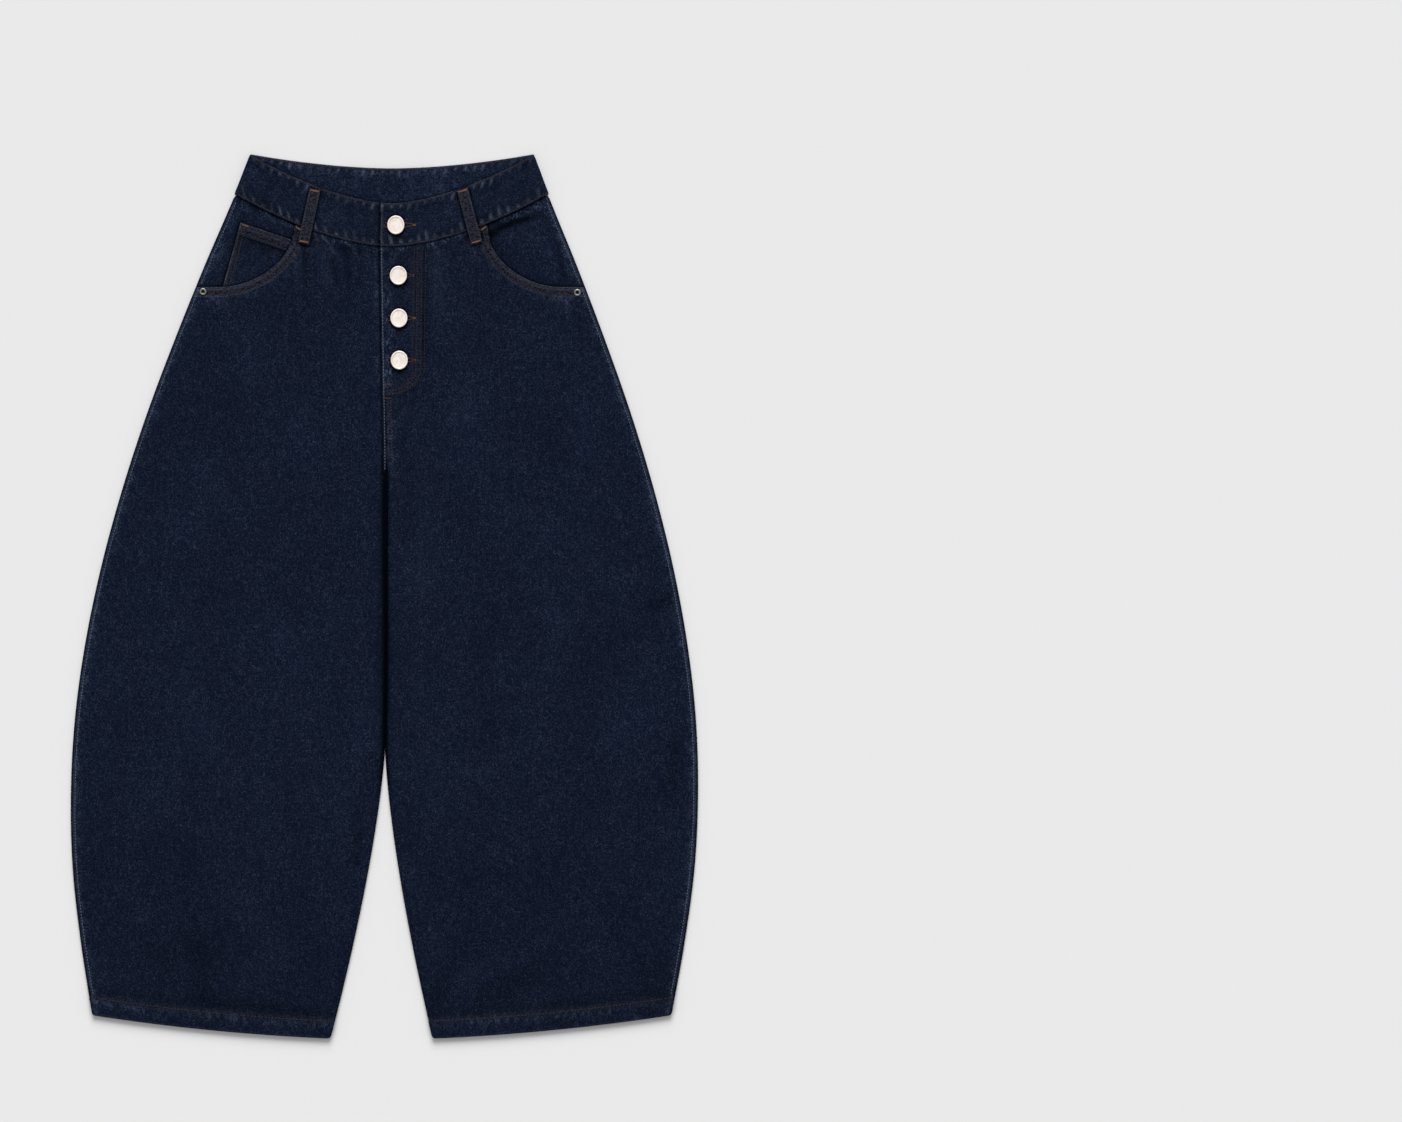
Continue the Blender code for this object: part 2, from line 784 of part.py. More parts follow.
def build_loops(denim):
    for name, side in (("belt_loop_front_left", 1.0), ("belt_loop_front_right", -1.0)):
        outline = mirrored(strip(FRONT_LOOP, LOOP_WIDTH), side)
        closed = dense(outline + outline[:1], 8.0)[:-1]
        cloth(name, denim, closed, loop_under, loop_top)
    for name, side in (("belt_loop_back_left", 1.0), ("belt_loop_back_right", -1.0)):
        outline = mirrored(strip(BACK_LOOP, BACK_LOOP_WIDTH), side)
        cloth(name, denim, outline, flat_under, trim_top)


def build_patch(leather):
    cloth("back_patch", leather, patch_outline(), flat_under, trim_top)


def build_buttons(pearl):
    """A shallow dished disc with a raised rim, its underside on the cloth."""
    r, h = BUTTON_RADIUS, BUTTON_HEIGHT
    profile = (
        (0.0, 0.0), (0.62 * r, 0.0), (0.92 * r, 0.28 * h), (r, 0.58 * h), (0.98 * r, 0.82 * h),
        (0.92 * r, h), (0.84 * r, 0.97 * h), (0.76 * r, 0.82 * h), (0.40 * r, 0.72 * h), (0.0, 0.70 * h))
    for number, (across, drop) in enumerate(BUTTONS, start=1):
        seat = surface_near(across, drop, 0.62 * r) + GAP
        turned("button_%d" % number, pearl, profile, across, drop, seat)


def build_rivets(nickel):
    """A riveted cap with a ring round a small hollow."""
    r, h = RIVET_RADIUS, RIVET_HEIGHT
    profile = (
        (0.0, 0.0), (r, 0.0), (r, 0.45 * h), (0.86 * r, 0.85 * h),
        (0.68 * r, h), (0.50 * r, 0.80 * h), (0.42 * r, 0.45 * h), (0.0, 0.40 * h))
    for name, (across, drop) in zip(("rivet_left", "rivet_right"), RIVETS):
        seat = surface_near(across, drop, r) + GAP
        turned(name, nickel, profile, across, drop, seat, 20)


def build():
    clear_scene()
    denim = material("dark_indigo_denim", (0.0075, 0.0115, 0.0240), 0.92)
    leather = material("dark_navy_patch", (0.0080, 0.0105, 0.0200), 0.75)
    pearl = material("cream_pearl_resin", (0.81, 0.76, 0.69), 0.28)
    nickel = material("antique_nickel", (0.34, 0.34, 0.33), 0.42, 1.0)
    build_back(denim)
    build_patch(leather)
    build_front(denim)
    build_waistband(denim)
    build_facings(denim)
    build_coin_pocket(denim)
    build_back_pockets(denim)
    build_loops(denim)
    build_buttons(pearl)
    build_rivets(nickel)


build()
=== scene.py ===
# %% [markdown]
# Barrel leg trousers in raw indigo denim
#
# A pair of wide trousers lies flat on a pale studio table, front up. Each cloth piece is a
# grid that is bent into its cut shape, so a reader can follow how a flat panel gets its
# seams, hems and rounded edges. The sewing lies on top as real thread.

# %% Load the frame
import math

import bmesh
import bpy
import numpy as np
from mathutils import Matrix, Vector


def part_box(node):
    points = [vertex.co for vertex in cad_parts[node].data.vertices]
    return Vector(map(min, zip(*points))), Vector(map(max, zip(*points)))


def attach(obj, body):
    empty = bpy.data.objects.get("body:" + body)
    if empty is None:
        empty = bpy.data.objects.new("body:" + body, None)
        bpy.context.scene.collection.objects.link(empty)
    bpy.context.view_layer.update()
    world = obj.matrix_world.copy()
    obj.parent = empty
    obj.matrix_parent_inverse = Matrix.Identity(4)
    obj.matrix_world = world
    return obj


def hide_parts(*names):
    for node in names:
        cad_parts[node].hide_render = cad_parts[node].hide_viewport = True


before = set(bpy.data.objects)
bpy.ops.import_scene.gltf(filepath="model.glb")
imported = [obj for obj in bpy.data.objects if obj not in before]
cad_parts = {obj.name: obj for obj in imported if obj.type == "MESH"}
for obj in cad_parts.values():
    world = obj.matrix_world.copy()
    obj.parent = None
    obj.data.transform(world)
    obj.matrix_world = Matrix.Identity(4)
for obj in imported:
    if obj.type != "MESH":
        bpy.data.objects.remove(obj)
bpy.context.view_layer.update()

# %% [markdown]
# Garment sizes
#
# Every place on the cloth has two numbers, as on a maker's pattern: across, from the centre
# line towards the wearer's left, and drop, down from the corners of the waist. Both are in
# millimetres. The trousers lean a little as they lie, which one shift takes care of.

# %% Sizes of the garment in millimetres
MM = 0.001
SIDES = (("left", 1.0), ("right", -1.0))     # of the wearer, and the sign of across there
LENGTH = 1017.5
LEAN = 0.0118
WIDEST_DROP = 735.0
CLOTH = 1.2
BAND = 2.0
HEM = 2.6
TRIM = 1.0

OUTSEAM = np.array([
    (0, 162), (47.7, 180.5), (126.8, 213.5), (213, 247.3), (300, 278.9),
    (386, 305.9), (472, 328.3), (558, 345.4), (645, 356.6), (735, 360.5),
    (817, 357.7), (904, 347.3), (1000, 331)])
HEM_OUTER = (333.0, 989.6)
HEM_INNER = (59.0, 1016.4)
HEM_BOW = 3.8
HEM_CORNER = 4.0
HEM_DEPTH = 21.5
HEM_ROW = 20.3
CROTCH = 363.0
LEGS_PART = 679.0
PART_AT_HEM = 59.0
PART_POWER = 1.42

SIDE_SEAM = 178.0
FRONT_TOP = (56.6, 55.4, 161.8, 1.634)
FRONT_SEAM = (106.4, 59.2, SIDE_SEAM, 1.69)
BACK_TOP = (16.1, 16.1, 162.0, 1.75)
BACK_SEAM = (62.0, 14.8, SIDE_SEAM, 1.75)

SCOOP_ACROSS = 84.5
SCOOP_DROP = 68.8
SCOOP_CENTRE = (195.0, 83.8)
SCOOP_POWER = 1.86
SCOOP_LOW = SCOOP_CENTRE[1] + SCOOP_DROP

FLY_TOP = 106.4
FLY_END = 278.0
FLY_WIDTH = 37.0
LAP_EDGE_TOP = -11.8
LAP_EDGE_END = -5.1
LAP_END = 350.0

BACK_POCKET = np.array([(32.8, 148.4), (179.6, 128.2), (188, 277), (125, 311.8), (57.5, 290.8)])
PATCH = (96.0, 69.0)
PATCH_TOP = BACK_TOP[0] + 0.3
LOOP_WIDTH = 13.0
FRONT_LOOPS = {1.0: ((81.3, 39.8), (98.9, 103.4)), -1.0: ((87.5, 39.8), (100.5, 103.4))}
BACK_LOOP = ((153.0, 3.5), (161.6, 66.0))
COIN_OUTER, COIN_INNER = (173.0, 78.4), (118.0, 97.4)
COIN_FOOT = (194.0, SCOOP_LOW + 5.0)
BUTTONS = ((5.7, 81.5), (9.3, 139.5), (10.5, 188.5), (11.5, 236.8))
BUTTON_RADIUS = 10.8
BUTTON_SQUASH = 0.91
BUTTONHOLE_REACH = (22.0, 17.0, 18.2, 18.4)
BUTTON_HEIGHT = 3.6

# Rows of stitches, by their distance from an edge or a seam
SIDE_ROW = 5.0
POCKET_ROWS = (4.6, 8.6)
LAP_ROW = 1.3
TOP_ROW = 2.2
SEAM_ROW = 2.0
COIN_TOP_ROWS = (2.4, 11.0)
COIN_SIDE_ROWS = (2.2, 7.0)
LOOP_ROW = 2.2
SIDE_ROW_END = HEM_OUTER[1] - HEM_DEPTH - 2.0

# Heights above the table: where front and back meet at a fold, and the undersides of the
# front and of the coin pocket
EDGE = 1.5
CROWN = 4.6
COIN_HEIGHT = 4.3
LIFT = 0.25          # mm that the backs stay above the table, for their threads
SCOOP_RISE = 1.0
FLY_RISE, LAP_RISE, STAND_SINK = 1.7, 0.6, 1.2
BAND_LAP_RISE, BAND_FOLD_RISE = 1.3, 1.3

# Widths over which the cloth rounds down to an edge
OUTER_ROLL = 14.0
INNER_ROLL = 9.0
FOLD_ROLL = 8.0
print("waist", 2.0 * BACK_TOP[2], "mm, length", LENGTH, "mm, widest leg line", OUTSEAM[:, 1].max(), "mm")


# %% Small helpers
def ease(value):
    t = np.clip(value, 0.0, 1.0)
    return t * t * (3.0 - 2.0 * t)


def mix(a, b, share):
    return a + (b - a) * share


def unit(line):
    return line / np.linalg.norm(line)


def pair(across, drop):
    """Places, each with its two numbers."""
    return np.stack(np.broadcast_arrays(across, drop), axis=-1)


def new_object(name, data):
    made = bpy.data.objects.new(name, data)
    bpy.context.scene.collection.objects.link(made)
    return made


def roll(distance, width):
    """Height of a rounded edge: 0 on the edge, 1 past its width."""
    t = np.clip(distance / width, 0.0, 1.0)
    return np.sqrt(1.0 - (1.0 - t) ** 2)


def smooth(rows, x):
    """A cubic curve through the rows of a table."""
    x = np.asarray(x, float)
    keys, values = rows[:, 0], rows[:, 1]
    slopes = np.gradient(values, keys)
    i = np.clip(np.searchsorted(keys, x, side="right") - 1, 0, len(keys) - 2)
    run = keys[i + 1] - keys[i]
    t = (x - keys[i]) / run
    rise = values[i] * (1 + 2 * t) * (1 - t) ** 2 + values[i + 1] * t * t * (3 - 2 * t)
    return rise + run * (slopes[i] * t * (1 - t) ** 2 - slopes[i + 1] * t * t * (1 - t))


def place(across, drop, height):
    """Places on the garment as points of the frame, in metres."""
    x = (across + LEAN * (WIDEST_DROP - drop)) * MM
    y = (LENGTH / 2.0 - drop) * MM
    return np.stack(np.broadcast_arrays(x, y, np.asarray(height) * MM), axis=-1)


# %% Edges of the pattern pieces
def outseam(drop):
    return smooth(OUTSEAM, drop)


def inseam(drop):
    below = np.maximum(0.0, np.asarray(drop) - LEGS_PART) / (LENGTH - LEGS_PART)
    return 0.03 + PART_AT_HEM * below ** PART_POWER


def hem(across):
    share = (HEM_OUTER[0] - np.abs(across)) / (HEM_OUTER[0] - HEM_INNER[0])
    straight = mix(HEM_OUTER[1], HEM_INNER[1], share)
    return straight + HEM_BOW * 4.0 * share * (1.0 - share)


def arch(edge, across):
    centre, rise, half, power = edge
    return centre - rise * (np.abs(across) / half) ** power


def lap_edge(drop):
    share = np.clip((np.asarray(drop) - FLY_TOP) / (LAP_END - FLY_TOP), 0.0, 1.0)
    return mix(LAP_EDGE_TOP, LAP_EDGE_END, share)


def scoop(offset, angles):
    bend = 2.0 / SCOOP_POWER
    across = SCOOP_CENTRE[0] - (SCOOP_ACROSS + offset) * np.clip(np.cos(angles), 0.0, 1.0) ** bend
    drop = SCOOP_CENTRE[1] + (SCOOP_DROP + offset) * np.sin(angles) ** bend
    return pair(across, drop)


def scoop_distance(across, drop):
    """How far a place on the panel lies from the pocket edge."""
    side = np.abs(across)
    x = np.abs(side - SCOOP_CENTRE[0]) / SCOOP_ACROSS
    y = np.maximum(0.0, drop - SCOOP_CENTRE[1]) / SCOOP_DROP
    reach = np.maximum((x ** SCOOP_POWER + y ** SCOOP_POWER) ** (1.0 / SCOOP_POWER), 0.001)
    curved = (reach - 1.0) * mix(SCOOP_DROP, SCOOP_ACROSS, x / reach) * (1.0 - 0.1 * x * y / reach ** 2)
    return np.where(side > SCOOP_CENTRE[0], drop - SCOOP_LOW, curved)


def coin_edges(across, drop):
    """Distances below the coin pocket's top edge and inside its outer edge."""
    a, b, c = np.array(COIN_INNER), np.array(COIN_OUTER), np.array(COIN_FOOT)
    top, side = unit(b - a), unit(c - b)
    x = np.abs(across)
    below = (x - a[0]) * -top[1] + (drop - a[1]) * top[0]
    inside = (x - b[0]) * -side[1] + (drop - b[1]) * side[0]
    return below, inside


def strip(ends, width):
    a, b = np.array(ends[0]), np.array(ends[1])
    direction = unit(b - a)
    half = np.array([direction[1], -direction[0]]) * width / 2.0
    return np.array([a - half, a + half, b + half, b - half])


def outline_distance(polygon, across, drop):
    """Distance to a closed outline, negative inside it."""
    nearest = np.full(np.shape(across), 1e9)
    inside = np.zeros(np.shape(across), bool)
    for k, (ax, ay) in enumerate(polygon):
        bx, by = polygon[(k + 1) % len(polygon)]
        dx, dy = bx - ax, by - ay
        t = np.clip(((across - ax) * dx + (drop - ay) * dy) / (dx * dx + dy * dy), 0.0, 1.0)
        nearest = np.minimum(nearest, np.hypot(across - ax - t * dx, drop - ay - t * dy))
        if ay != by:
            inside ^= ((ay > drop) != (by > drop)) & (across < ax + (drop - ay) / dy * dx)
    return np.where(inside, -nearest, nearest)


print("each hem is", round(HEM_OUTER[0] - HEM_INNER[0]), "mm wide")

# %% [markdown]
# Camera, table and light
#
# The photograph looks straight down on a cut-out that leans on nothing, under wide, even
# light that falls mostly from the waist side, so the hems throw a short soft shadow. A far
# camera with a long lens shows the cloth almost without perspective. A sun has the same
# strength all over the table, which keeps the pale ground even.

# %% Camera over the photograph's frame
PHOTO_WIDE, PHOTO_HIGH = 1402, 1122
MM_PER_PIXEL = 1.15
CENTRE_PIXEL = 384.6
WAIST_PIXEL = 154.5
CAMERA_HEIGHT = 7.5
SENSOR = 36.0

view_x = (PHOTO_WIDE / 2.0 - CENTRE_PIXEL) * MM_PER_PIXEL * MM
waist_y = LENGTH / 2.0 * MM
view_y = waist_y - (PHOTO_HIGH / 2.0 - WAIST_PIXEL) * MM_PER_PIXEL * MM
camera_data = bpy.data.cameras.new("camera")
camera_data.sensor_width = SENSOR
camera_data.lens = SENSOR * CAMERA_HEIGHT / (PHOTO_WIDE * MM_PER_PIXEL * MM)
camera_data.clip_end = 100.0
camera = new_object("camera", camera_data)
camera.location = (view_x, view_y, CAMERA_HEIGHT)
bpy.context.scene.camera = camera
bpy.context.scene.view_settings.view_transform = "Standard"
print("lens", round(camera_data.lens, 1), "mm, camera over", round(view_x, 4), round(view_y, 4))


# %% Colours and nodes
def linear(code):
    """An sRGB hex colour as linear red, green and blue."""
    values = [int(code[k:k + 2], 16) / 255.0 for k in (0, 2, 4)]
    return [v / 12.92 if v <= 0.04045 else ((v + 0.055) / 1.055) ** 2.4 for v in values]


def paint(code):
    return (*linear(code), 1.0)


def add_node(tree, kind, settings=None, links=None):
    """Adds a node, sets its properties and sockets, and links sockets to others."""
    node = tree.nodes.new(kind)
    for name, value in (settings or {}).items():
        if isinstance(name, str) and hasattr(node, name):
            setattr(node, name, value)
        else:
            node.inputs[name].default_value = value
    for name, source in (links or {}).items():
        tree.links.new(source, node.inputs[name])
    return node


def set_inputs(node, values):
    for name, value in values.items():
        node.inputs[name].default_value = value


def object_coords(tree):
    return add_node(tree, "ShaderNodeTexCoord").outputs["Object"]


def new_material(name):
    """A material with its node tree and its shader."""
    made = bpy.data.materials.new(name)
    made.use_nodes = True
    return made, made.node_tree, made.node_tree.nodes["Principled BSDF"]


print("middle grey 808080 is", round(linear("808080")[0], 3), "in linear light")


# %% Table and light
TABLE_COLOUR = "e6e6e6"
table_finish, tree, shader = new_material("matte_studio_paper")
set_inputs(shader, {"Base Color": paint(TABLE_COLOUR), "Roughness": 1.0, "Specular IOR Level": 0.0})

sheet = bmesh.new()
bmesh.ops.create_grid(sheet, x_segments=1, y_segments=1, size=12.0)
table_mesh = bpy.data.meshes.new("studio_table")
sheet.to_mesh(table_mesh)
sheet.free()
table_mesh.materials.append(table_finish)
new_object("studio_table", table_mesh)

SUN_STRENGTH = 3.25
SUN_SPREAD = 38.0    # degrees, as wide as a large softbox
SUN_HEIGHT = 33.0    # degrees above the table, from the waist side
SKY_STRENGTH = 0.475
sun_data = bpy.data.lights.new("softbox", "SUN")
sun_data.energy = SUN_STRENGTH
sun_data.angle = math.radians(SUN_SPREAD)
sun = new_object("softbox", sun_data)
sun.rotation_euler = (math.radians(SUN_HEIGHT - 90.0), 0.0, 0.0)
world = bpy.data.worlds.new("studio")
world.use_nodes = True
set_inputs(world.node_tree.nodes["Background"], {"Color": paint("ffffff"), "Strength": SKY_STRENGTH})
bpy.context.scene.world = world
print("sun", SUN_STRENGTH, "sky", SKY_STRENGTH)

# %% [markdown]
# Denim
#
# Raw denim is a cotton twill: indigo warp threads run down the leg over a pale weft, of which
# only tiny flecks show. The warp is spun unevenly, so thick and thin threads wander a little
# and give the dark cloth its pale, broken hairlines. Each piece also carries four kinds of
# marks: wear on ridges that rub, together with painted highlight on the ridges of the folds;
# streaks where a seam draws the cloth up; bound strips that many needle holes turn brownish;
# and painted shade in creases, folds and seams, beside raised edges and round buttons and loops.

# %% Denim material
SLUB_WIDE = 2.6      # mm, one thick warp thread with its neighbours, as coarse as it shows
SLUB_LONG = 13.0
HAIR_WIDE = 4.4      # mm, spacing of the pale hairlines
HAIR_LONG = 5.6
FLECK = 1.3          # mm, crossings of warp and weft, drawn coarser than the real 0.7 mm
CLOUD = 34.0         # mm, slow change of dye and of the hairlines over the cloth
DYE = 84.0           # mm, slow change of the dye over a whole leg
STREAK_WIDE = 6.5    # mm, curly pale lines where a seam draws the cloth up
STREAK_LONG = 12.0
BINDING = 2.5        # mm, grain of cloth that is full of needle holes and thread
HAIR_EDGE = 0.048    # how far from the middle of the noise a pale hairline reaches
SLUB_SHARE, HAIR_SHARE, FLECK_SHARE = 0.14, 0.52, 0.25
DRAWN_UP, RUBBED_AND_LIT = "4c5b73", "5f6b82"
HOLES = ("06080f", "33353f")
DEEP_DYE, DEEP_SHADE = "03060d", "020409"
MARKS = ("wear", "streak", "bound", "shade")


def stretched_noise(tree, source, wide, long, detail, rough=0.5, bend=0.0):
    """Noise with grains of a width and length in millimetres."""
    space = add_node(tree, "ShaderNodeMapping", {
        "Scale": (1000.0 / wide, 1000.0 / long, 1.0)}, {"Vector": source})
    return add_node(tree, "ShaderNodeTexNoise", {
        "Scale": 1.0, "Detail": detail, "Roughness": rough, "Distortion": bend},
        {"Vector": space.outputs["Vector"]}).outputs["Fac"]


def ranged(tree, source, low, high, start=0.0, end=1.0):
    """A value brought from one range to another, and held there."""
    return add_node(tree, "ShaderNodeMapRange", {
        "From Min": low, "From Max": high, "To Min": start, "To Max": end},
        {"Value": source}).outputs["Result"]


def combined(tree, operation, first, second):
    """Two values added, multiplied and so on; the second may be a plain number."""
    if isinstance(second, float):
        node = add_node(tree, "ShaderNodeMath", {"operation": operation, 1: second}, {0: first})
    else:
        node = add_node(tree, "ShaderNodeMath", {"operation": operation}, {0: first, 1: second})
    return node.outputs["Value"]


def mixed(tree, share, first, second):
    """A colour between two; each of them is a colour or the output of a node."""
    settings = {"data_type": "RGBA"}
    links = {0: share}
    for socket, colour in ((6, first), (7, second)):
        if isinstance(colour, tuple):
            settings[socket] = colour
        else:
            links[socket] = colour
    return add_node(tree, "ShaderNodeMix", settings, links).outputs[2]


def mark(tree, name):
    return add_node(tree, "ShaderNodeAttribute", {"attribute_name": name}).outputs["Fac"]


def denim_material(name, base, light):
    """Indigo twill: rough, dark, almost no gloss, with a faint sheen of loose fibre."""
    made, tree, shader = new_material(name)
    grain = add_node(tree, "ShaderNodeUVMap", {"uv_map": "cloth"}).outputs["UV"]
    body = object_coords(tree)
    slub = ranged(tree, stretched_noise(tree, grain, SLUB_WIDE, SLUB_LONG, 3.0, 0.65, 0.6), 0.38, 0.75)
    fleck = ranged(tree, stretched_noise(tree, grain, FLECK, FLECK * 1.5, 1.0, 0.6), 0.42, 0.72)
    cloud = stretched_noise(tree, body, CLOUD, CLOUD * 1.6, 3.0, 0.6)
    wander = stretched_noise(tree, grain, HAIR_WIDE, HAIR_LONG, 1.5, 0.6, 1.0)
    contour = combined(tree, "ABSOLUTE", combined(tree, "SUBTRACT", wander, 0.5), 0.0)
    hair = ranged(tree, contour, 0.0, HAIR_EDGE, 1.0, 0.0)
    broken = combined(tree, "MULTIPLY", hair, ranged(tree, cloud, 0.36, 0.62, 0.68, 1.0))
    broken = combined(tree, "MULTIPLY", broken, ranged(tree, fleck, 0.0, 0.8, 0.45, 1.0))
    weave = combined(tree, "MULTIPLY", slub, SLUB_SHARE)
    weave = combined(tree, "ADD", weave, combined(tree, "MULTIPLY", broken, HAIR_SHARE))
    weave = combined(tree, "ADD", weave, combined(tree, "MULTIPLY", fleck, FLECK_SHARE))
    pale = ranged(tree, weave, 0.08, 1.0)
    colour = mixed(tree, pale, paint(base), paint(light))

    curl = stretched_noise(tree, body, STREAK_WIDE, STREAK_LONG, 2.0, 0.5, 1.8)
    curl = combined(tree, "ABSOLUTE", combined(tree, "SUBTRACT", curl, 0.5), 0.0)
    lines = ranged(tree, curl, 0.0, 0.045, 1.0, 0.0)
    lines = combined(tree, "MULTIPLY", lines, ranged(tree, stretched_noise(
        tree, body, STREAK_LONG, STREAK_LONG, 1.0), 0.40, 0.62))
    drawn = combined(tree, "MULTIPLY", combined(tree, "MULTIPLY", mark(tree, "streak"), lines), 0.85)
    colour = mixed(tree, drawn, colour, paint(DRAWN_UP))

    holes = ranged(tree, stretched_noise(tree, body, BINDING, BINDING, 1.5, 0.6), 0.38, 0.62)
    pierced = mixed(tree, holes, paint(HOLES[0]), paint(HOLES[1]))
    colour = mixed(tree, mark(tree, "bound"), colour, pierced)

    # Wear, and painted highlight on the ridges of the folds, mix in a paler blue
    rubbed_and_lit = combined(tree, "MULTIPLY", mark(tree, "wear"), ranged(tree, fleck, 0.0, 0.75, 0.35, 1.0))
    colour = mixed(tree, rubbed_and_lit, colour, paint(RUBBED_AND_LIT))

    dye = ranged(tree, stretched_noise(tree, body, DYE, DYE * 1.5, 2.0, 0.6), 0.32, 0.70, 0.0, 0.28)
    colour = mixed(tree, dye, colour, paint(DEEP_DYE))
    # Painted shade: the shade mark darkens the cloth to near black
    colour = mixed(tree, mark(tree, "shade"), colour, paint(DEEP_SHADE))

    relief = add_node(tree, "ShaderNodeBump", {"Strength": 0.7, "Distance": 0.0006}, {"Height": weave})
    tree.links.new(colour, shader.inputs["Base Color"])
    tree.links.new(relief.outputs["Normal"], shader.inputs["Normal"])
    set_inputs(shader, {"Roughness": 0.95, "Specular IOR Level": 0.02, "Sheen Weight": 0.004,
                        "Sheen Roughness": 0.5, "Sheen Tint": paint("8fa0c0")})
    return made


denim = denim_material("indigo_denim_twill", "0a1224", "3c455a")
denim_inside = denim_material("indigo_denim_band_inside", "0b1326", "3e4960")
print("denim materials:", denim.name, denim_inside.name)

# %% [markdown]
# A panel from a grid
#
# A pattern piece has four sides, so a plain grid can be bent into it: its two long sides
# follow the seams, its ends the waist seam and the hem, and what lies between is blended
# from the four. Rows and columns stand closer together near the edges, where the cloth
# rounds over, than in the calm middle.

# %% Grids bent between four edges
NEAR = np.array([0.0, 0.5, 1.0, 1.6, 2.3, 3.1, 4.0, 5.0, 6.1, 7.3, 8.5, 9.6, 10.6, 11.6, 13.0, 15.0])


def along(points, shares):
    """Places at shares of the length of a line of points."""
    points = np.asarray(points, float)
    runs = np.hypot(*np.diff(points, axis=0).T)
    length = np.concatenate([[0.0], np.cumsum(runs)])
    at = np.asarray(shares) * length[-1]
    return np.stack([np.interp(at, length, points[:, k]) for k in (0, 1)], axis=-1)


def line_length(points):
    return float(np.hypot(*np.diff(np.asarray(points, float), axis=0).T).sum())


def shares_of(length, step):
    """Shares from 0 to 1, with close rows near both ends unless the length is short."""
    if length < 3.0 * NEAR[-1]:
        return np.linspace(0.0, 1.0, max(2, int(round(length / step)) + 1))
    middle = np.arange(NEAR[-1] + step, length - NEAR[-1] - step * 0.5, step)
    return np.concatenate([NEAR, middle, (length - NEAR)[::-1]]) / length


def graded_shares(length, runs):
    """Shares with close rows near both ends; runs lists (until, step) in millimetres."""
    places = [NEAR]
    start = NEAR[-1]
    for until, step in runs:
        until = min(until, length - NEAR[-1] - step / 2.0)
        places.append(np.arange(start + step, until, step))
        start = places[-1][-1]
    return np.concatenate(places + [(length - NEAR)[::-1]]) / length


def blend_edges(top, bottom, left, right, s, t):
    """Coons patch: places inside four edges at shares s across and t down."""
    across, down = np.meshgrid(s, t)
    a, d = across[..., None], down[..., None]
    upper, lower = along(top, s)[None, :, :], along(bottom, s)[None, :, :]
    first, second = along(left, t)[:, None, :], along(right, t)[:, None, :]
    corners = ((1 - a) * (1 - d) * upper[:, :1] + a * (1 - d) * upper[:, -1:]
               + (1 - a) * d * lower[:, :1] + a * d * lower[:, -1:])
    return (1 - d) * upper + d * lower + (1 - a) * first + a * second - corners


def grid_mesh(name, columns, rows):
    """A bmesh grid, with the row and column of each of its vertices."""
    shape = bmesh.new()
    bmesh.ops.create_grid(shape, x_segments=columns - 1, y_segments=rows - 1, size=1.0)
    mesh = bpy.data.meshes.new(name)
    shape.to_mesh(mesh)
    shape.free()
    flat = np.empty(len(mesh.vertices) * 3)
    mesh.vertices.foreach_get("co", flat)
    flat = flat.reshape(-1, 3)
    column = np.rint((flat[:, 0] + 1.0) / 2.0 * (columns - 1)).astype(int)
    row = np.rint((1.0 - flat[:, 1]) / 2.0 * (rows - 1)).astype(int)
    return mesh, column, row


def add_cloth_map(mesh, across, drop, marks, turn=0.0):
    """The pattern's own coordinates as UV, turned to the grain, and the cloth's marks."""
    turned = complex(math.cos(turn), math.sin(turn))
    grain = (across - 1j * drop) * turned
    corner = np.empty(len(mesh.loops), int)
    mesh.loops.foreach_get("vertex_index", corner)
    uv = pair(grain.real[corner], grain.imag[corner]) * MM
    layer = mesh.uv_layers.new(name="cloth")
    layer.data.foreach_set("uv", uv.ravel())
    for name in MARKS:
        values = np.broadcast_to(marks.get(name, 0.0), across.shape)
        attribute = mesh.attributes.new(name, "FLOAT", "POINT")
        attribute.data.foreach_set("value", np.clip(values, 0.0, 1.0).astype(np.float32))


def cloth_piece(name, places, surface, wall, finish, node,
                marks=None, side="front", turn=0.0):
    """A wall of cloth on a grid of places; surface gives the height of its outer face."""
    rows, columns = places.shape[:2]
    mesh, column, row = grid_mesh(name, columns, rows)
    across, drop = places[row, column, 0], places[row, column, 1]
    height = surface(across, drop)
    mesh.vertices.foreach_set("co", place(across, drop, height).ravel())
    add_cloth_map(mesh, across, drop, marks(across, drop) if marks else {}, turn)
    mesh.materials.append(finish)
    piece = new_object(name, mesh)
    face_outwards(mesh, up=side == "front")
    thick = wall(across, drop)
    group = piece.vertex_groups.new(name="thick")
    weights = np.round(thick / thick.max(), 2)
    for weight in np.unique(weights):
        group.add(np.nonzero(weights == weight)[0].tolist(), float(weight), "REPLACE")
    solid = piece.modifiers.new("wall", "SOLIDIFY")
    solid.thickness = float(thick.max()) * MM
    solid.offset = -1.0
    solid.vertex_group = "thick"
    mesh.shade_smooth()
    mesh.set_sharp_from_angle(angle=math.radians(50.0))
    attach(piece, "root")
    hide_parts(node)
    return piece


def face_outwards(mesh, up):
    """Turns the faces of a flat grid so that its outer side looks up, or down."""
    shape = bmesh.new()
    shape.from_mesh(mesh)
    shape.normal_update()
    tilt = sum(face.normal.z for face in shape.faces)
    if (tilt > 0.0) != up:
        bmesh.ops.reverse_faces(shape, faces=shape.faces[:])
    shape.to_mesh(mesh)
    shape.free()


def even_wall(thickness):
    return lambda across, drop: np.full(np.shape(across), thickness)


def both_sides(name, node, places, surface, wall, marks, side="front"):
    """A piece of denim on the wearer's left, and its mirror image on the right."""
    for side_name, way in SIDES:
        mine = places * (way, 1.0)
        piece = cloth_piece(name + side_name, mine, surface, wall, denim, node + side_name,
                            marks=marks, side=side)


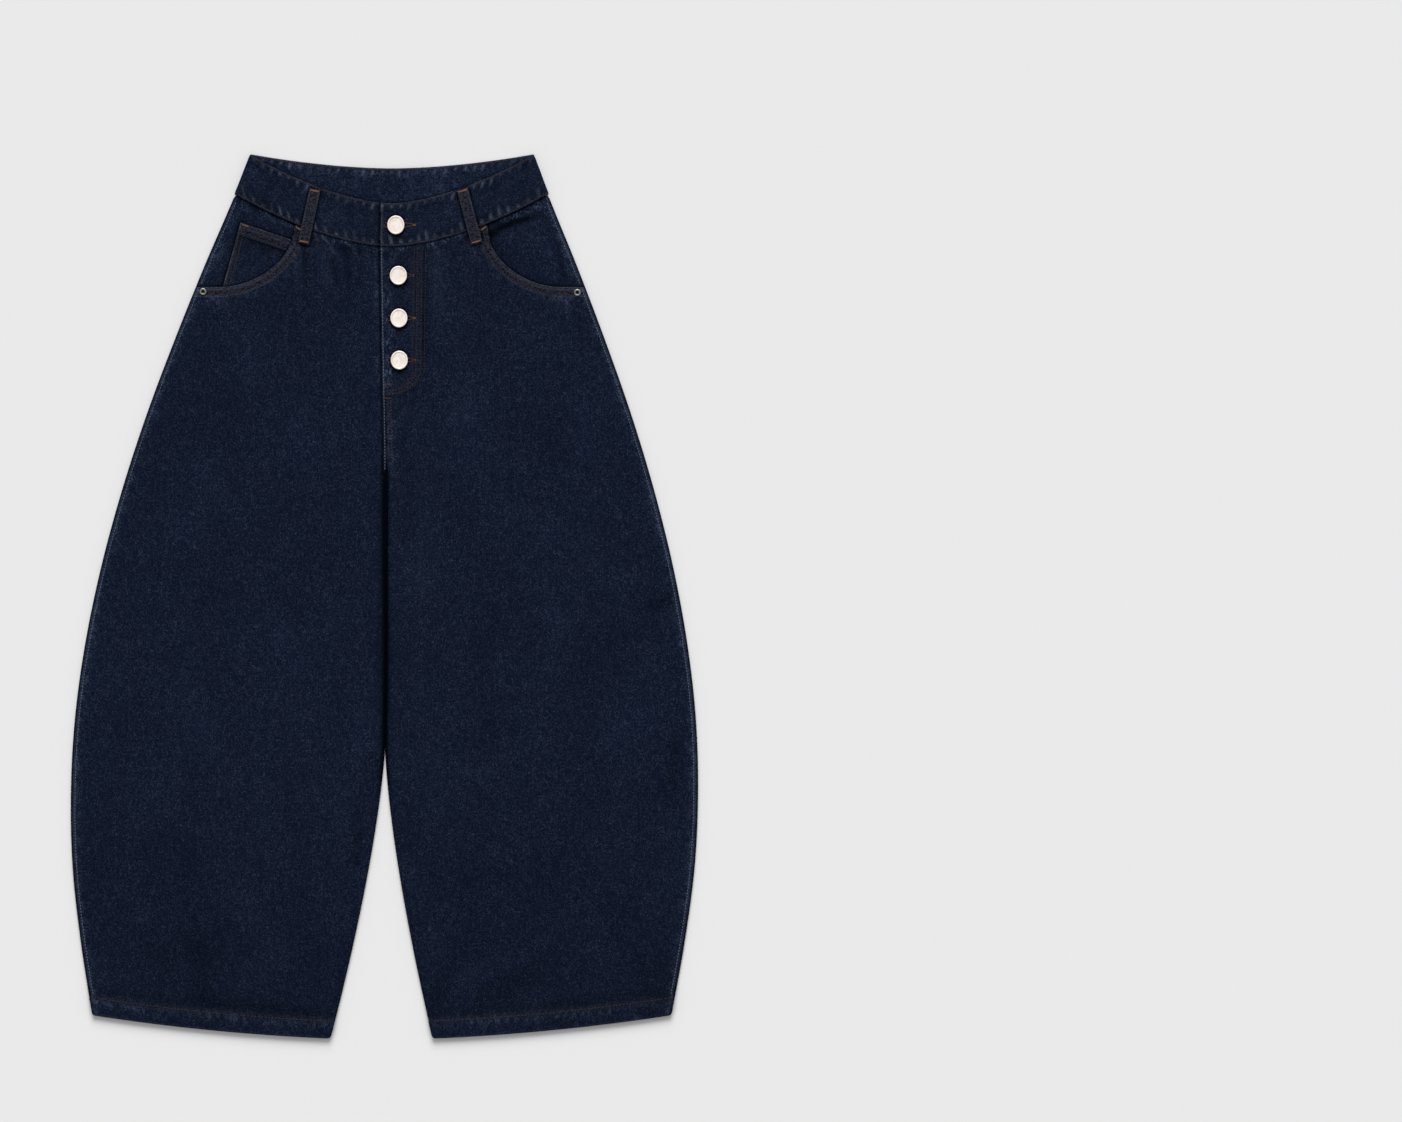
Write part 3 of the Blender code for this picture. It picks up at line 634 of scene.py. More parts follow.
# %% [markdown]
# What sewing does to cloth
#
# Thread pulls a seam shorter than the cloth beside it, so the cloth draws up in small
# slanting waves along every stitched edge. The crests rub and turn pale. A row of
# stitches also sinks into a shallow groove.

# %% Waves and grooves beside seams
WAVE = 10.5          # mm from crest to crest beside a seam
GROOVE = 0.28        # mm, how deep a row of stitches sinks in


def waves(run, distance, slant=0.6, seed=0.0):
    """Uneven slanting waves along a seam, from -1 to 1."""
    bend = 1.1 * np.sin(run / 31.0 + seed) + 0.8 * np.sin(run / 12.7 + 2.0 * seed)
    size = 0.65 + 0.35 * np.sin(run / 23.0 + 3.0 * seed)
    return size * np.sin(2.0 * math.pi * (run + slant * distance) / WAVE + bend)


def seam_relief(run, distance, reach, height, rows=(), seed=0.0):
    """Height beside a seam: waves that fade out, and a groove under each stitch row."""
    fade = bump(distance, 0.0, reach) * (distance > -2.0)
    made = height * waves(run, distance, seed=seed) * fade
    for row in rows:
        made -= GROOVE * bump(distance, row, 0.9)
    return made


def bump(distance, at, width):
    """1 on a line beside an edge, fading out over a width."""
    return np.exp(-((distance - at) / width) ** 2)


def crest_wear(run, distance, at, width, seed=0.0):
    """Paler crests of the waves beside a seam."""
    crest = np.clip(waves(run, distance, seed=seed) - 0.15, 0.0, 1.0)
    return crest * bump(distance, at, width)


def pucker(run, distance, reach, seed=0.0):
    """Pale bars that stand out from a row of stitches, one for every wave."""
    bend = 1.1 * np.sin(run / 31.0 + 4.0 + seed) + 0.8 * np.sin(run / 12.7 + 8.0 + seed)
    crest = np.clip(np.cos(2.0 * math.pi * (run + 0.25 * distance) / WAVE + bend) - 0.2, 0.0, 0.8) / 0.8
    size = np.clip(0.62 + 0.4 * np.sin(run / 17.0 + seed) + 0.25 * np.sin(run / 5.3), 0.30, 1.0)
    length = reach * (0.75 + 0.25 * np.sin(run / 6.7 + 2.0 * seed))
    return crest * size * ease(distance / 1.2) * ease((length - distance) / (0.45 * reach))


def segment_distance(across, drop, ends):
    """Distance to a straight stretch, and the share of it that lies nearest."""
    ax, ay, bx, by = ends
    dx, dy = bx - ax, by - ay
    t = np.clip(((across - ax) * dx + (drop - ay) * dy) / (dx * dx + dy * dy), 0.0, 1.0)
    return np.hypot(across - ax - t * dx, drop - ay - t * dy), t


def along_table(across, drop, table):
    """Sum of soft troughs: each row has its two ends, a half width and a depth."""
    made = 0.0
    for row in table:
        distance, t = segment_distance(across, drop, row[:4])
        swell = 0.72 + 0.28 * np.sin(4.1 * t + row[0] / 9.0)
        made += row[5] * swell * bump(distance, 0.0, row[4])
    return made


def uneven(run, seed=0.0):
    """A value from 0.4 to 1 that changes every few millimetres along an edge."""
    sway = np.sin(run / 2.3 + seed) + np.sin(run / 3.7 + 2.3 * seed) + np.sin(run / 7.9 + 0.7 * seed)
    return 0.7 + 0.1 * sway


def spot(across, drop, x, y, radius):
    return np.exp(-((across - x) ** 2 + (drop - y) ** 2) / radius ** 2)


def fold_over(distance, radius=0.9, depth=0.7):
    """The cloth's face turning down over a folded edge."""
    return depth * (roll(distance, radius) - 1.0)


def soft_swell(across, drop):
    """Slow, low waves of cloth that was smoothed flat by hand."""
    a = np.sin(across / 47.0 + drop / 133.0 + 0.7) * np.sin(drop / 71.0 - across / 210.0)
    b = np.sin(across / 26.0 - drop / 57.0 + 2.1) * np.sin(drop / 39.0 + 1.3)
    return 0.28 * a + 0.10 * b


print("waves beside a seam every", WAVE, "mm, as uneven as", np.round(uneven(np.arange(3.0)), 2))


# %% [markdown]
# The fronts
#
# Each front runs from the waist seam and the curved pocket edge down to the hem. The left
# one laps over the right one at the fly, where its facing is folded under, so it stands a
# little higher inside the curved double row. Between the legs both fronts round down
# to the inseam and leave a deep crease, made darker with painted shade.

# %% Creases of the fronts
# Each row: across and drop of its two ends, half width, depth; a negative depth is a ridge.
# The same rows also paint shade into the troughs and a highlight onto the ridges.
FOLDS = np.array([
    (-100, 102, -96, 176, 4, 0.95),
    (-109, 118, -105, 156, 5, -0.60),
    (-88, 106, -86, 128, 3.4, 0.46),
    (-79, 104, -73, 150, 5, -0.60),
    (-64.5, 108, -63, 150, 4.2, 0.66),
    (-52, 108, -46, 168, 4.2, 0.80),
    (-36, 114, -34, 150, 4.4, 0.44),
    (38, 116, 41, 236, 4.6, 0.50),
    (53, 114, 55, 188, 8, -0.55),
    (72, 118, 74, 160, 5, 0.30),
    (84, 190, 87, 300, 19, -0.24),
    (106, 168, 112, 226, 9, 0.22),
    (24, 356, 22, 440, 8, 0.30),
    (40, 372, 38, 505, 12, -0.24),
    (213, 174, 221, 222, 3.6, 0.48),
    (-215, 178, -212, 214, 4, 0.20),
    (-331, 462, -262, 484, 9, 0.28),
    (-186, 505, -96, 520, 15, 0.30),
    (336, 505, 300, 522, 8, 0.62),
    (338, 668, 322, 742, 11, 0.42),
    (-20, 700, -34, 812, 9, 0.55),
    (122, 652, 118, 690, 10, 0.36),
    (168, 548, 160, 580, 11, 0.32),
    (206, 922, 116, 974, 15, 0.40),
    (96, 902, 66, 968, 11, 0.34),
    (150, 915, 84, 950, 10, -0.30),
    (-288, 884, -250, 932, 16, 0.26),
    (-214, 910, -204, 950, 11, 0.38),
    (-216, 968, -82, 990, 9, 0.52),
    (-150, 862, -118, 926, 14, -0.28)])
# Each row: two ends, half width, strength of a thin pale line on a sharp little ridge.
WHISKERS = np.array([
    (-88.4, 89.5, -84.6, 98.5, 1, 0.50),
    (-79.7, 92.5, -72.4, 101.8, 1, 0.62),
    (-72.4, 101.8, -63.8, 115.6, 1, 0.48),
    (-44.6, 105.5, -40.5, 112.5, 1, 0.34),
    (-40.5, 112.5, -36, 121.5, 1, 0.28),
    (45.7, 101, 56.2, 114, 1, 0.34),
    (-211.8, 163.6, -208.6, 173, 1.2, 0.46),
    (-205, 164.4, -198, 171.5, 1.1, 0.30),
    (187, 164.8, 191.5, 173.5, 1, 0.28),
    (194.5, 164.6, 201, 172.5, 1, 0.30),
    (206, 166, 203.5, 176.5, 1, 0.24)])
print("creases:", len(FOLDS), "pale ridges:", len(WHISKERS))


# %% Height of the front panels
def hem_share(across, drop, reach):
    """0 above the hem, 1 on it."""
    return ease((drop - hem(across) + HEM_DEPTH + reach) / reach)


def front_base(across, drop):
    """Outer face of a plain front panel, without its sewing."""
    outer = roll(outseam(drop) - np.abs(across), OUTER_ROLL)
    legs = ease((drop - CROTCH) / 40.0)
    inner = mix(1.0, roll(np.abs(across) - inseam(drop), INNER_ROLL), legs)
    edge = mix(EDGE, HEM + 0.3, hem_share(across, drop, 25.0))
    crown = CROWN + SCOOP_RISE * (1.0 - ease((scoop_distance(across, drop) - 12.0) / 35.0))
    under = mix(mix(edge, crown, outer * inner), HEM + 0.6, hem_share(across, drop, 2.0))
    return under + front_wall(across, drop)


def front_wall(across, drop):
    return mix(CLOTH, HEM, hem_share(across, drop, 2.0))


def leg_relief(across, drop):
    """Sewing on the seams that both fronts have."""
    side = outseam(drop) - np.abs(across)
    inner = np.abs(across) - inseam(drop)
    low = hem(across) - drop
    turn = ease((low - 1.0) / 4.0)
    made = seam_relief(drop, side, 7.0, 0.16, (SIDE_ROW,), seed=1.0)
    made += seam_relief(drop, inner, 4.0, 0.10, seed=2.0) * ease((drop - CROTCH) / 40.0)
    hemmed = (np.abs(low - HEM_DEPTH / 2.0) < HEM_DEPTH) * ease((HEM_DEPTH + 3.0 - low) / 5.0)
    made += 0.30 * waves(across, low, slant=0.25, seed=4.0) * hemmed * turn
    made -= 0.30 * bump(low, HEM_ROW, 1.1)
    made += fold_over(low, 1.3, 1.1)
    made -= along_table(across, drop, FOLDS) * ease(low / 30.0) * ease(side / 12.0)
    calm = ease((drop - 200.0) / 120.0) * ease(low / 60.0) * ease(inner / 30.0) * ease(side / 30.0)
    return made + soft_swell(across, drop) * calm


def scoop_run(across, drop):
    """Distance along the pocket edge of the nearest place on it."""
    side = np.abs(across)
    angle = np.arctan2(np.maximum(drop - SCOOP_CENTRE[1], 0.0) / SCOOP_DROP,
                       np.maximum(SCOOP_CENTRE[0] - side, 0.0) / SCOOP_ACROSS)
    return angle * 77.0 + np.maximum(side - SCOOP_CENTRE[0], 0.0)


def pocket_relief(across, drop):
    """The pocket edge: folded, with two rows of stitches and cloth raised between them."""
    distance = scoop_distance(across, drop)
    run = scoop_run(across, drop)
    made = seam_relief(run, distance, 9.0, 0.14, POCKET_ROWS, seed=5.0)
    made += 0.25 * bump(distance, 5.8, 3.0)
    return made + fold_over(distance)


def band_seam_relief(across, drop):
    distance = drop - arch(FRONT_SEAM, across)
    return seam_relief(across, distance, 7.0, 0.14, seed=6.0) - 0.35 * bump(distance, 0.0, 1.0)


def fly_distance(across, drop):
    """Distance outside the curved end of the fly facing, negative inside it."""
    radius = FLY_WIDTH - 2.0
    centre = FLY_END - radius
    curved = np.hypot(np.maximum(across - 2.0, 0.0), np.maximum(drop - centre, 0.0)) - radius
    straight = across - FLY_WIDTH
    return np.where(drop < centre, straight, np.where(across < 2.0, drop - FLY_END, curved))


def fly_rise(across, drop):
    """The left front stands higher over its facing and over the edge that laps."""
    fly = 1.0 - ease((fly_distance(across, drop) + 1.0) / 6.0)
    lap = (1.0 - ease((across - 8.0) / 12.0)) * (1.0 - ease((drop - CROTCH) / 25.0))
    return np.maximum(FLY_RISE * fly, LAP_RISE * lap)


def left_front(across, drop):
    edge = across - lap_edge(drop)
    fade = 1.0 - ease((drop - CROTCH) / 20.0)
    made = front_base(across, drop) + leg_relief(across, drop) + fly_rise(across, drop)
    made += pocket_relief(across, drop) + band_seam_relief(across, drop)
    made += (seam_relief(drop, edge, 5.0, 0.10, (LAP_ROW,), seed=7.0) + fold_over(edge)) * fade
    j_row = fly_distance(across, drop)
    for row in (-0.5, -11.5):
        groove = 0.22 * bump(j_row, row, 0.9)
        made -= groove * (drop < FLY_END + 2.0) * (across > 1.0)
    return made


def right_front(across, drop):
    """The right front sinks where it lies under the left one."""
    near = ease((across + 30.0) / 16.0)
    fade = 1.0 - ease((drop - CROTCH) / 25.0)
    made = front_base(across, drop) + leg_relief(across, drop) - STAND_SINK * near * fade
    return made + pocket_relief(across, drop) + band_seam_relief(across, drop)


def loop_distance(across, drop):
    """Distance to the outline of the nearer front loop."""
    left, right = (outline_distance(strip(FRONT_LOOPS[way], LOOP_WIDTH), way * across, drop)
                   for way in (1.0, -1.0))
    return np.minimum(left, right)


def crease_shade(across, drop):
    """Painted shade in the deep crease between the legs, from the crotch to where they part."""
    opened = inseam(drop)
    from_crease = across + mix(2.6, -0.5, ease((drop - 400.0) / 210.0))
    near = np.abs(from_crease) - opened
    right = ease((from_crease + 1.0) / 2.0)
    depth = ease((drop - CROTCH + 14.0) / 26.0)
    narrow = mix(0.95, 0.99, ease((drop - 380.0) / 60.0)) * bump(near, 0.0, mix(4.2, 2.7, right))
    wide = 0.36 * bump(near, 0.0, mix(11.0, 5.0, right))
    return depth * (narrow + wide) * (1.0 - ease(opened / 7.0))


def button_shade(across, drop, buttons):
    """Painted contact shadow: a dark ring on the cloth round each button."""
    return sum(0.98 * bump(np.hypot((across - x) / BUTTON_SQUASH, drop - y) - BUTTON_RADIUS, 0.7, 1.6)
               for x, y in buttons)


def front_marks(across, drop):
    """Wear with painted highlight, streaks, and painted shade of the fronts, all placed from the seams.
    """
    side = outseam(drop) - np.abs(across)
    low = hem(across) - drop
    seam = drop - arch(FRONT_SEAM, across)
    edge = across - lap_edge(drop)
    pocket, run = scoop_distance(across, drop), scoop_run(across, drop)
    fly = (across > -16.0) & (drop < CROTCH + 5.0)
    folds = along_table(across, drop, FOLDS)
    below = ease((drop - FLY_END) / 12.0)
    wear = 0.46 * uneven(drop, 1.0) ** 1.6 * bump(side, 3.4, 0.9)
    wear += 0.45 * crest_wear(drop, side, 6.0, 1.6, 1.0)
    wear += 0.40 * uneven(run, 5.0) * bump(pocket, 0.1, 1.0)
    wear += 0.42 * uneven(run, 5.3) * bump(pocket, 2.9, 0.8)
    wear += 0.34 * uneven(run, 5.7) * bump(pocket, 10.6, 0.9)
    wear += 0.30 * pucker(across, HEM_ROW - 1.0 - low, 9.0)
    wear += 0.16 * pucker(across + 4.0, low - HEM_ROW, 7.0)
    wear += 0.20 * uneven(across, 4.4) * bump(low, 1.2, 0.9)
    on_edge = bump(edge, mix(0.1, -0.3, below), mix(1.0, 0.6, below)) * (edge > -0.1)
    wear += fly * mix(0.90, 0.50, below) * uneven(drop, 7.0) * on_edge
    # Pale whiskers, and painted highlight on the ridges of the folds
    wear += along_table(across, drop, WHISKERS) + 0.10 * np.clip(-folds, 0.0, 1.0)

    streak = 0.5 * (drop < FLY_END) * bump(edge, -6.0, 3.0) + 0.26 * bump(pocket, 14.0, 6.0)
    streak += bump(seam, 2.4, 3.4) + 0.40 * bump(seam, 5.0, 8.0)
    streak += 0.6 * bump(side, 7.0, 5.0) + 0.6 * bump(low, HEM_ROW - 5.0, 6.0)
    for way in (1.0, -1.0):
        streak += 0.6 * spot(across, drop, way * 100.0, 112.0, 12.0)
        streak += 0.45 * spot(across, drop, way * 205.0, 170.0, 12.0)
    streak += fly * (edge > 1.0) * bump(edge, 7.0, 7.0)
    streak += 0.25 * spot(across, drop, 8.0, 300.0, 18.0)

    j_row = fly_distance(across, drop)
    on_fly = (drop < FLY_END + 3.0) & (across > -2.0)
    bound = 0.76 * ease((pocket + 0.8) / 0.8) * ease((11.2 - pocket) / 1.4)
    bound += 0.34 * on_fly * bump(j_row, -5.5, 6.0)
    bound += 0.22 * below * fly * ease((348.0 - drop) / 16.0) * bump(edge, 6.8, 2.8)
    bound += 0.60 * bump(low, HEM_ROW + 0.6, 2.2)

    # Painted shade and shadow: under the band seam, along the rounded outseam, in the crease and the
    # fold troughs, beside the lapping fly edge, round the loops, below the fly curve and round the
    # buttons, and a little darker towards the hem
    shade = 0.80 * bump(seam, 0.2, 1.4) + 0.30 * bump(seam, 9.0, 5.0)
    shade += 0.22 * bump(side, 1.2, 1.6) + 0.35 * bump(side, 0.0, 0.7)
    shade += crease_shade(across, drop) + 0.62 * np.clip(folds, 0.0, 1.0)
    shade += fly * (0.95 * bump(edge, -1.6, 1.2) + 0.60 * below * bump(edge, 3.3, 1.1))
    shade += 0.80 * bump(loop_distance(across, drop), 0.9, 1.3)
    shade += 0.30 * on_fly * (bump(j_row, -8.3, 0.9) + bump(j_row, 1.8, 1.0))
    shade += 0.22 * (across > 0.0) * ease((drop - 262.0) / 14.0) * bump(j_row, 14.0, 5.0)
    shade += button_shade(across, drop, BUTTONS[1:])
    shade += 0.16 * ease((drop - 640.0) / 330.0) + 0.16 * bump(low, HEM_ROW + 9.0, 6.0)
    return {"wear": wear, "streak": streak, "bound": bound, "shade": shade}


# %% Cut the two fronts
FRONT_COLUMNS = ((58.0, 1.5), (900.0, 3.3))
FRONT_ROWS = ((250.0, 1.9), (2000.0, 3.9))
QUARTER = np.linspace(0.0, math.pi / 2.0, 40)


def rounded(before, corner, after, radius):
    """A corner between two straight edges, rounded with a few points."""
    a, b, c = (np.asarray(p, float) for p in (before, corner, after))
    start, end = b + unit(a - b) * radius, b + unit(c - b) * radius
    t = np.linspace(0.0, 1.0, 8)[:, None]
    return start * (1 - t) ** 2 + b * 2 * t * (1 - t) + end * t * t


def hem_line():
    """The hem from the inseam to the outseam, with rounded corners."""
    inner = (float(inseam(HEM_INNER[1])), HEM_INNER[1])
    across = np.linspace(inner[0], HEM_OUTER[0], 120)[2:-2]
    middle = pair(across, hem(across))
    above_inner = (float(inseam(HEM_INNER[1] - 20.0)), HEM_INNER[1] - 20.0)
    above_outer = (float(outseam(HEM_OUTER[1] - 20.0)), HEM_OUTER[1] - 20.0)
    first = rounded(above_inner, inner, middle[0], HEM_CORNER)
    last = rounded(middle[-1], HEM_OUTER, above_outer, HEM_CORNER)
    return np.concatenate([first, middle, last])


def seam_line(edge, start, end, count=300, shift=0.0):
    drop = np.linspace(start, end, count)
    return pair(edge(drop) + shift, drop)


def arch_line(edge, start, end, shift=0.0, count=160):
    across = np.linspace(start, end, count)
    return pair(across, arch(edge, across) + shift)


def front_places(inner_edge):
    """Grid of places on a front; inner_edge gives its edge above the crotch."""
    start = float(inner_edge(FLY_TOP))
    seam = arch_line(FRONT_SEAM, start, SCOOP_CENTRE[0] - SCOOP_ACROSS, 0.3)
    level = np.array([(float(outseam(SCOOP_LOW)), SCOOP_LOW)])
    top = np.concatenate([seam[:-1], scoop(0.0, QUARTER), level])
    bottom = hem_line()
    upper = seam_line(inner_edge, seam[0, 1], LAP_END, 60)
    lower = seam_line(inseam, CROTCH, bottom[0, 1])
    left = np.concatenate([upper, lower])
    right = seam_line(outseam, SCOOP_LOW, bottom[-1, 1])
    s = graded_shares(line_length(bottom), FRONT_COLUMNS)
    t = graded_shares(line_length(right), FRONT_ROWS)
    return blend_edges(top, bottom, left, right, s, t)


def mirrored(places):
    return places * np.array([-1.0, 1.0])


def stand_edge(drop):
    """Edge of the right front, hidden under the left one."""
    return -mix(18.0, 6.0, ease((np.asarray(drop) - FLY_END) / 30.0))


FRONTS = {1.0: left_front, -1.0: right_front}
for (name, way), inner_edge in zip(SIDES, (lap_edge, stand_edge)):
    places = front_places(inner_edge) * (way, 1.0)
    piece = cloth_piece("denim_front_" + name, places, FRONTS[way], front_wall, denim,
                        "front_" + name, marks=front_marks)

# %% [markdown]
# The backs
#
# The backs lie face down on the table. Their outer side is the underside here, flat
# where it rests, and bent up over the patch pockets, the back loops and the patch.

# %% Trims that the backs lie on
patch_outline = np.array([(-0.5, 0.0), (0.5, 0.0), (0.5, 1.0), (-0.5, 1.0)]) * PATCH + (0.0, PATCH_TOP)
back_trims = [patch_outline]
for way in (1.0, -1.0):
    back_trims.append(BACK_POCKET * np.array([way, 1.0]))
    back_trims.append(strip(BACK_LOOP, LOOP_WIDTH - 1.0) * np.array([way, 1.0]))


def trim_distance(across, drop):
    return np.min([outline_distance(trim, across, drop) for trim in back_trims], axis=0)


def rise_over_trims(across, drop):
    return (TRIM + 0.3) * (1.0 - ease((trim_distance(across, drop) - 0.3) / 4.0))


def back_face(across, drop):
    side = outseam(drop) - np.abs(across)
    inner = np.abs(across) - inseam(drop)
    low = hem(across) - drop
    grooves = 0.15 * bump(side, SIDE_ROW, 0.9) + 0.15 * bump(low, HEM_ROW, 1.1)
    turned_edge = -fold_over(side, 1.2, 0.5) - fold_over(low, 1.3, 0.9) - fold_over(inner, 0.9, 0.4)
    return LIFT + rise_over_trims(across, drop) + grooves + turned_edge


def back_wall(across, drop):
    return mix(CLOTH, HEM, hem_share(across, drop, 2.0)) - 0.3


def back_marks(across, drop):
    """As on the fronts, with painted highlight and painted shade; the leg's creases are the fronts' own,
    seen from behind and a little lower.
    """
    side = outseam(drop) - np.abs(across)
    low = hem(across) - drop
    nearest = trim_distance(across, drop)
    folds = along_table(-across, drop + 31.0, FOLDS[FOLDS[:, 1] > 400.0])
    wear = 0.46 * uneven(drop, 1.5) ** 1.6 * bump(side, 3.4, 0.9)
    wear += 0.32 * pucker(across, HEM_ROW - low, 10.0)
    wear += 0.5 * uneven(drop, 8.0) * bump(np.abs(across), 1.0, 0.8) * (drop < CROTCH)
    # Painted highlight on the ridges of the folds
    wear += 0.10 * np.clip(-folds, 0.0, 1.0)
    streak = 0.9 * bump(drop - arch(BACK_SEAM, across), 3.0, 5.0) + 0.5 * bump(nearest, 8.0, 8.0)
    streak += 0.6 * bump(low, HEM_ROW - 5.0, 6.0)
    streak += 0.6 * bump(np.abs(across), 8.0, 12.0) * (drop < CROTCH)
    bound = 0.55 * bump(low, HEM_ROW, 2.6) + 0.45 * (drop < CROTCH) * bump(across, 5.0, 4.0)
    # Painted shade round the trims, along the outseam, in the crease and the fold troughs, and a little
    # darker towards the hem
    shade = 0.75 * bump(nearest, 0.5, 1.3) + 0.25 * bump(side, 1.2, 1.6) + crease_shade(across, drop)
    shade += 0.16 * ease((drop - 640.0) / 330.0) + 0.62 * np.clip(folds, 0.0, 1.0)
    return {"wear": wear, "streak": streak, "bound": bound, "shade": shade}


def back_places():
    start = SIDE_SEAM - 0.4
    top = arch_line(BACK_SEAM, 0.15, start, 0.3)
    bottom = hem_line()
    left = seam_line(inseam, top[0, 1], bottom[0, 1])
    side = seam_line(outseam, top[-1, 1] + 6.0, bottom[-1, 1])
    right = np.concatenate([top[-1:], side])
    s = shares_of(line_length(bottom), 5.0)
    t = shares_of(line_length(right), 5.0)
    return blend_edges(top, bottom, left, right, s, t)


both_sides("denim_back_", "back_", back_places(), back_face, back_wall, back_marks, side="back")

# %% [markdown]
# The waistband
#
# The band is a curved strip of two layers. The front halves meet at the fly, the left one
# over the right, and the back of the band stands higher, so its inside shows above
# the front edge as it does when trousers lie flat.

# %% Height of the waistband
def band_relief(across, drop, top_edge, seam, seed):
    """Waves drawn up between the two stitched edges of the band."""
    upper = drop - arch(top_edge, across)
    lower = arch(seam, across) - drop
    made = seam_relief(across, upper, 9.0, 0.18, (TOP_ROW,), seed=seed)
    made += seam_relief(across, lower, 9.0, 0.16, (SEAM_ROW,), seed=seed + 1.0)
    slow = 0.14 * np.sin(across / 6.1 + drop / 14.0 + seed) * np.sin(drop / 8.0)
    return made + slow + fold_over(upper, 1.2, 0.9) + fold_over(lower, 0.8, 0.5)


def front_band_base(across, drop):
    fold = roll(outseam(drop) - np.abs(across), FOLD_ROLL)
    made = mix(3.6, CROWN, fold) + BAND
    return made + band_relief(across, drop, FRONT_TOP, FRONT_SEAM, 11.0)


def right_band(across, drop):
    return front_band_base(across, drop) - 1.0 * ease((across + 36.0) / 20.0)


def left_band(across, drop):
    edge = across - LAP_EDGE_TOP
    lift = BAND_LAP_RISE * (1.0 - ease((across - 20.0) / 28.0))
    return front_band_base(across, drop) + lift + fold_over(edge, 1.1, 0.9)


def back_band_rise(across, drop):
    """The back band lies flat, but bends up at its folds and over the trims."""
    fold = BAND_FOLD_RISE * (1.0 - roll(outseam(drop) - np.abs(across), FOLD_ROLL))
    return np.maximum(fold, rise_over_trims(across, drop))


def back_band_inside(across, drop):
    """Upper side of the back band: its inside, lying open to the camera."""
    made = back_band_rise(across, drop) + BAND
    return made + band_relief(across, drop, BACK_TOP, BACK_SEAM, 15.0)


def band_marks(across, drop):
    upper = drop - arch(FRONT_TOP, across)
    lower = arch(FRONT_SEAM, across) - drop
    edge = across - LAP_EDGE_TOP
    free = (across > LAP_EDGE_TOP - 0.5) & (across < 0.0)
    wear = 0.36 * uneven(across, 11.0) * bump(upper, 0.2, 0.9)
    wear += 0.34 * uneven(across, 12.0) ** 2 * bump(lower, 1.6, 0.9)
    wear += free * 0.7 * uneven(drop, 13.0) * bump(edge, 0.4, 0.9)
    wear += 0.96 * pucker(across, lower - 2.6, 13.0, 1.0)
    wear += 0.84 * pucker(across, upper - 1.4, 11.0, 2.0)
    streak = 0.14 + 0.10 * bump(upper, 5.0, 5.0)
    bound = 0.35 * bump(lower, 4.6, 1.4) + 0.35 * bump(upper, 2.2, 1.2)
    # Painted shadow round the loops, beside the lapping band edge and round the top button, and painted
    # shade along both edges
    shade = 0.80 * bump(loop_distance(across, drop), 0.9, 1.3)
    shade += 0.30 * bump(lower, 8.0, 5.0) + 0.30 * bump(upper, 7.0, 4.5)
    shade += (across < LAP_EDGE_TOP) * 0.97 * bump(edge, -0.6, 2.6)
    shade += button_shade(across, drop, BUTTONS[:1])
    return {"wear": wear, "streak": streak, "bound": bound, "shade": shade}


def back_band_marks(across, drop):
    upper = drop - arch(BACK_TOP, across)
    front = arch(FRONT_TOP, across) - drop
    wear = 0.36 * uneven(across, 15.0) * bump(upper, 0.8, 0.9)
    wear += 0.72 * pucker(across, upper - 2.2, 10.0, 3.0)
    # The shade mark is a painted shadow along the edge of the front band that lies over it
    return {"wear": wear, "streak": 0.32 + 0.3 * bump(upper, 5.0, 6.0),
            "bound": 0.35 * bump(upper, 2.4, 1.3), "shade": 0.7 * bump(front, 0.2, 1.6)}


def back_band_outside(across, drop):
    return LIFT + back_band_rise(across, drop)


def back_band_wall(across, drop):
    return np.maximum(0.4, back_band_inside(across, drop) - back_band_outside(across, drop))


def side_fold(top, bottom):
    """The band's edge at the side, between the ends of its two long edges."""
    right = seam_line(outseam, top[-1, 1], bottom[-1, 1], 30)
    right[0], right[-1] = top[-1], bottom[-1]
    return right


def band_places(start):
    """Grid of places on a front half, from a place across to the side fold."""
    top = arch_line(FRONT_TOP, start, FRONT_TOP[2] + 0.6)
    bottom = arch_line(FRONT_SEAM, start, BAND_END)
    right = side_fold(top, bottom)
    s = shares_of(line_length(bottom), 1.9)
    t = shares_of(line_length(right), 1.6)
    return blend_edges(top, bottom, np.array([top[0], bottom[0]]), right, s, t)


BAND_END = SIDE_SEAM + 1.6
BAND_STAND = -18.0   # where the right half ends, hidden under the left one
BANDS = {1.0: left_band, -1.0: right_band}
for (name, way), start in zip(SIDES, (LAP_EDGE_TOP, BAND_STAND)):
    places = band_places(start) * (way, 1.0)
    piece = cloth_piece("denim_band_front_" + name, places, BANDS[way], even_wall(BAND), denim,
                        "waistband_front_" + name, marks=band_marks, turn=math.pi / 2.0)


def back_band_places():
    top = arch_line(BACK_TOP, -BACK_TOP[2], BACK_TOP[2])
    bottom = arch_line(BACK_SEAM, -BAND_END, BAND_END)
    right = side_fold(top, bottom)
    s = shares_of(line_length(bottom), 2.0)
    t = shares_of(line_length(right), 1.8)
    return blend_edges(top, bottom, mirrored(right), right, s, t)


places = back_band_places()
band_back = cloth_piece("denim_band_back", places, back_band_inside, back_band_wall,
                        denim_inside, "waistband_back", marks=back_band_marks, turn=math.pi / 2.0)

# %% [markdown]
# Pockets
#
# Behind each curved opening lies a facing of the same denim. On the wearer's right it
# carries a small coin pocket with a double-stitched top and side. The back pockets lie
# under the backs, flat on the table.

